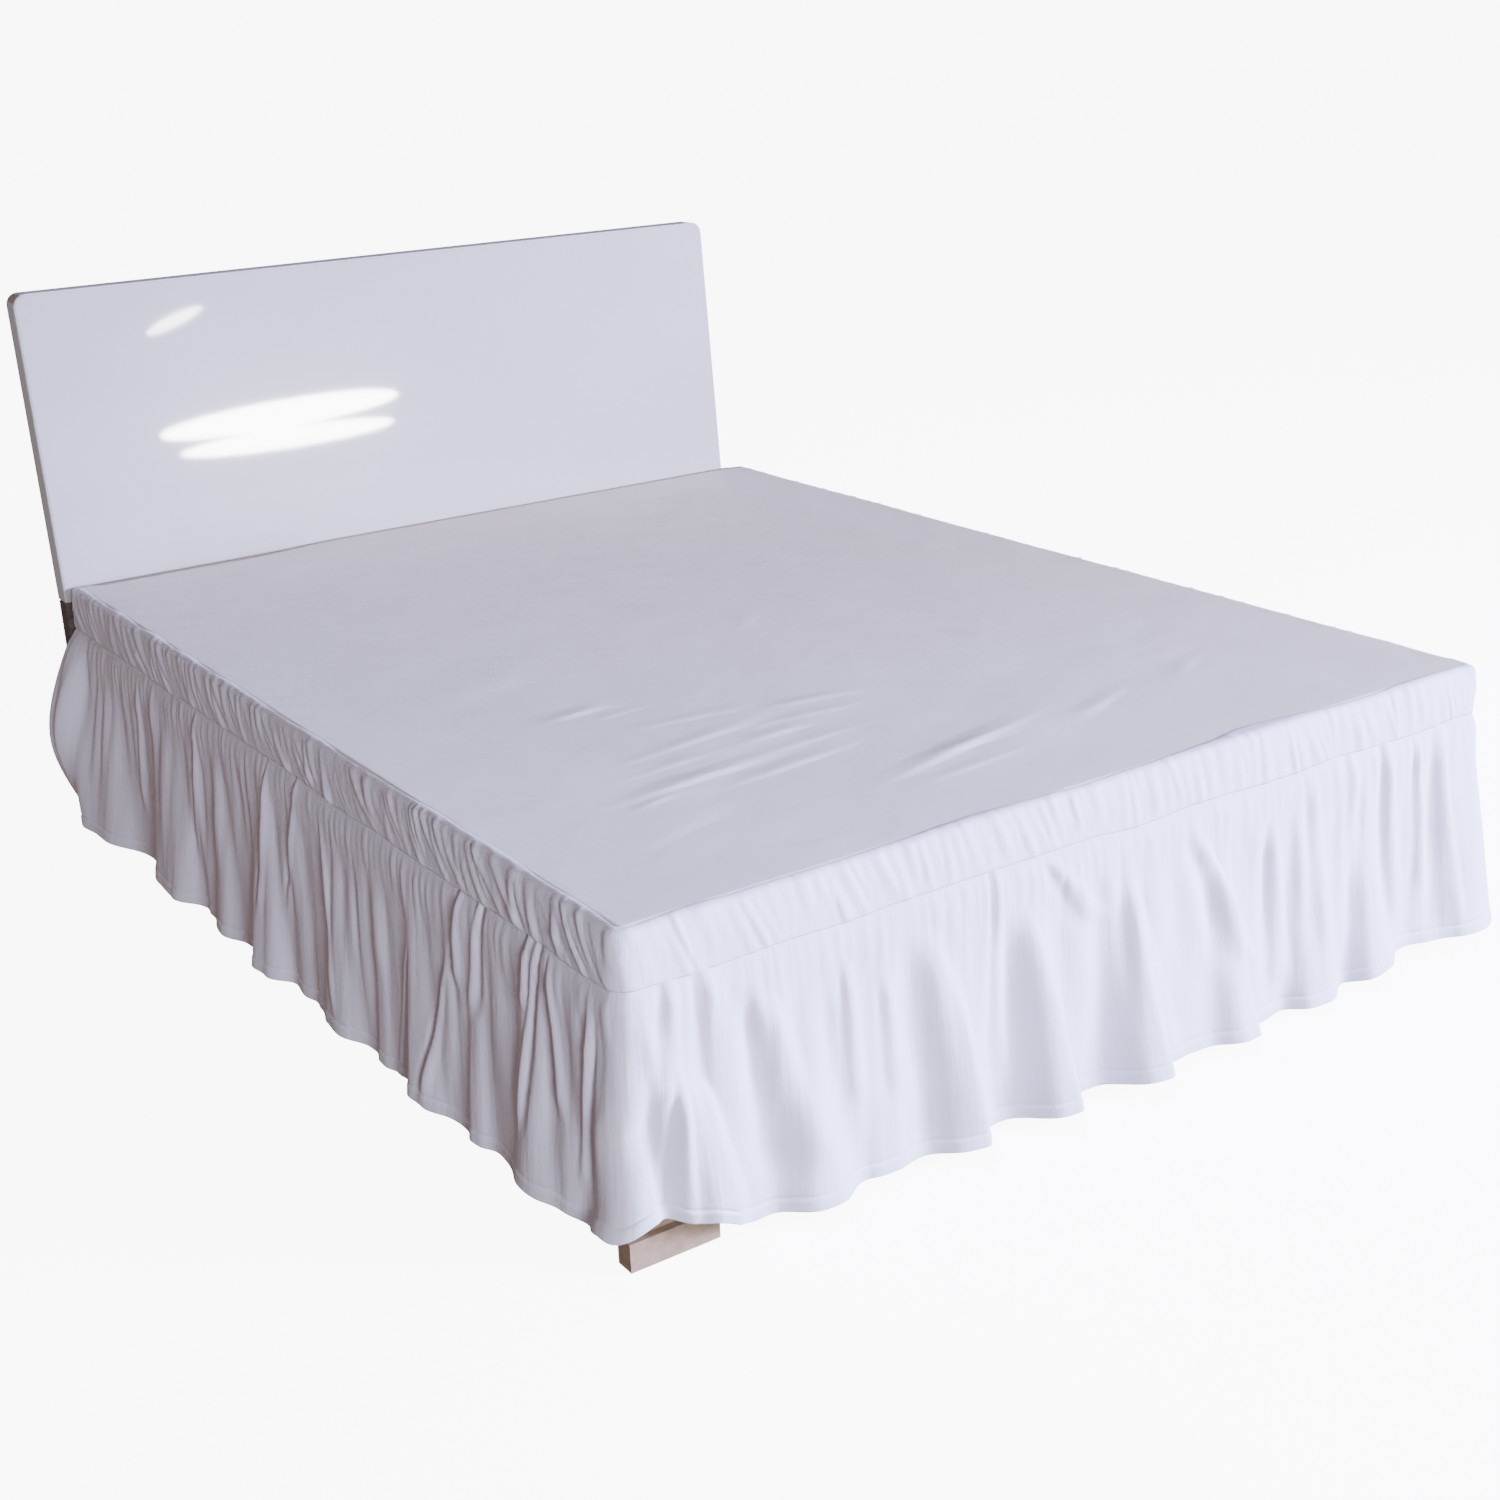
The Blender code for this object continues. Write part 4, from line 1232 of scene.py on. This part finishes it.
def make_pane(name, pane):
    """A narrow bright window that shows only as a reflection."""
    start, end = Vector(pane.start), Vector(pane.end)
    lamp = area_lamp(name, "ELLIPSE", (end - start).length, pane.height, pane.strength)
    along = (end - start).normalized()
    out = along.cross(Vector((0, 0, 1))).normalized()
    turned = turned_to(along, out.cross(along))
    lamp.matrix_world = Matrix.Translation((start + end) / 2) @ turned
    lamp.visible_diffuse = False
    lamp.visible_camera = False


def ring_points(radius, height):
    """Points of a level circle round the bed."""
    turns = [2 * math.pi * step / ROUND_STEPS for step in range(ROUND_STEPS)]
    return [(radius * math.cos(turn), radius * math.sin(turn), height) for turn in turns]


def make_backdrop(name, points, faces, colour, glow):
    """A pale glowing surface behind the bed, which lights nothing and isn't mirrored."""
    mesh = bpy.data.meshes.new(name)
    mesh.from_pydata(points, [], faces)
    finish, shader = new_finish(f"pale_{name}", colour, STAGE_LOOK)[:2]
    shader.inputs["Emission Color"].default_value = (*STAGE_COLOUR, 1.0)
    shader.inputs["Emission Strength"].default_value = glow
    mesh.materials.append(finish)
    backdrop = linked(name, mesh)
    backdrop.visible_diffuse = False
    backdrop.visible_glossy = False
    return backdrop


def make_stage():
    """The pale floor and wall, the windows and the light of the room."""
    disc = ring_points(FLOOR_RADIUS, 0.0)
    make_backdrop("floor", disc, [range(ROUND_STEPS)], STAGE_COLOUR, FLOOR_GLOW)
    low, high = WALL_SPAN
    cylinder = ring_points(WALL_RADIUS, low) + ring_points(WALL_RADIUS, high)
    panels = []
    for step in range(ROUND_STEPS):
        after = (step + 1) % ROUND_STEPS
        panels.append((step, ROUND_STEPS + step, ROUND_STEPS + after, after))
    wall = make_backdrop("wall", cylinder, panels, (0.0, 0.0, 0.0), WALL_GLOW)
    wall.visible_shadow = False
    for name, window in WINDOWS.items():
        make_window(name, window)
    for number, pane in enumerate(PANES):
        make_pane(f"pane_{number}", pane)
    room = bpy.data.worlds.new("room")
    room.use_nodes = True
    room.node_tree.nodes["Background"].inputs["Color"].default_value = (*ROOM_COLOUR, 1.0)
    bpy.context.scene.world = room


def make_camera():
    """The camera, standing where the photograph was taken."""
    level = math.cos(CAMERA_PITCH)
    across, along = math.sin(CAMERA_YAW) * level, math.cos(CAMERA_YAW) * level
    ahead = Vector((across, along, -math.sin(CAMERA_PITCH)))
    right = ahead.cross(Vector((0, 0, 1))).normalized()
    up = right.cross(ahead)
    turned_right = math.cos(CAMERA_ROLL) * right + math.sin(CAMERA_ROLL) * up
    turned_up = -math.sin(CAMERA_ROLL) * right + math.cos(CAMERA_ROLL) * up
    lens = bpy.data.cameras.new("camera")
    lens.lens = LENS
    lens.sensor_width = SENSOR
    camera = linked("camera", lens)
    camera.matrix_world = Matrix.Translation(CAMERA_PLACE) @ turned_to(turned_right, turned_up)
    bpy.context.scene.camera = camera


def main():
    make_deck(make_cotton(DECK_COTTON))
    make_bands(make_cotton(BAND_COTTON))
    make_ruffles(make_cotton(RUFFLE_COTTON))
    make_stitches(make_thread())
    finish_nodes(
        {
            "bed_wood": make_wood(*BED_WOOD_WITH_PAINTED_SHADE),
            "dark_wood": make_wood(*DARK_WOOD),
            "white_gloss": make_lacquer(),
        }
    )
    make_stage()
    make_camera()


main()
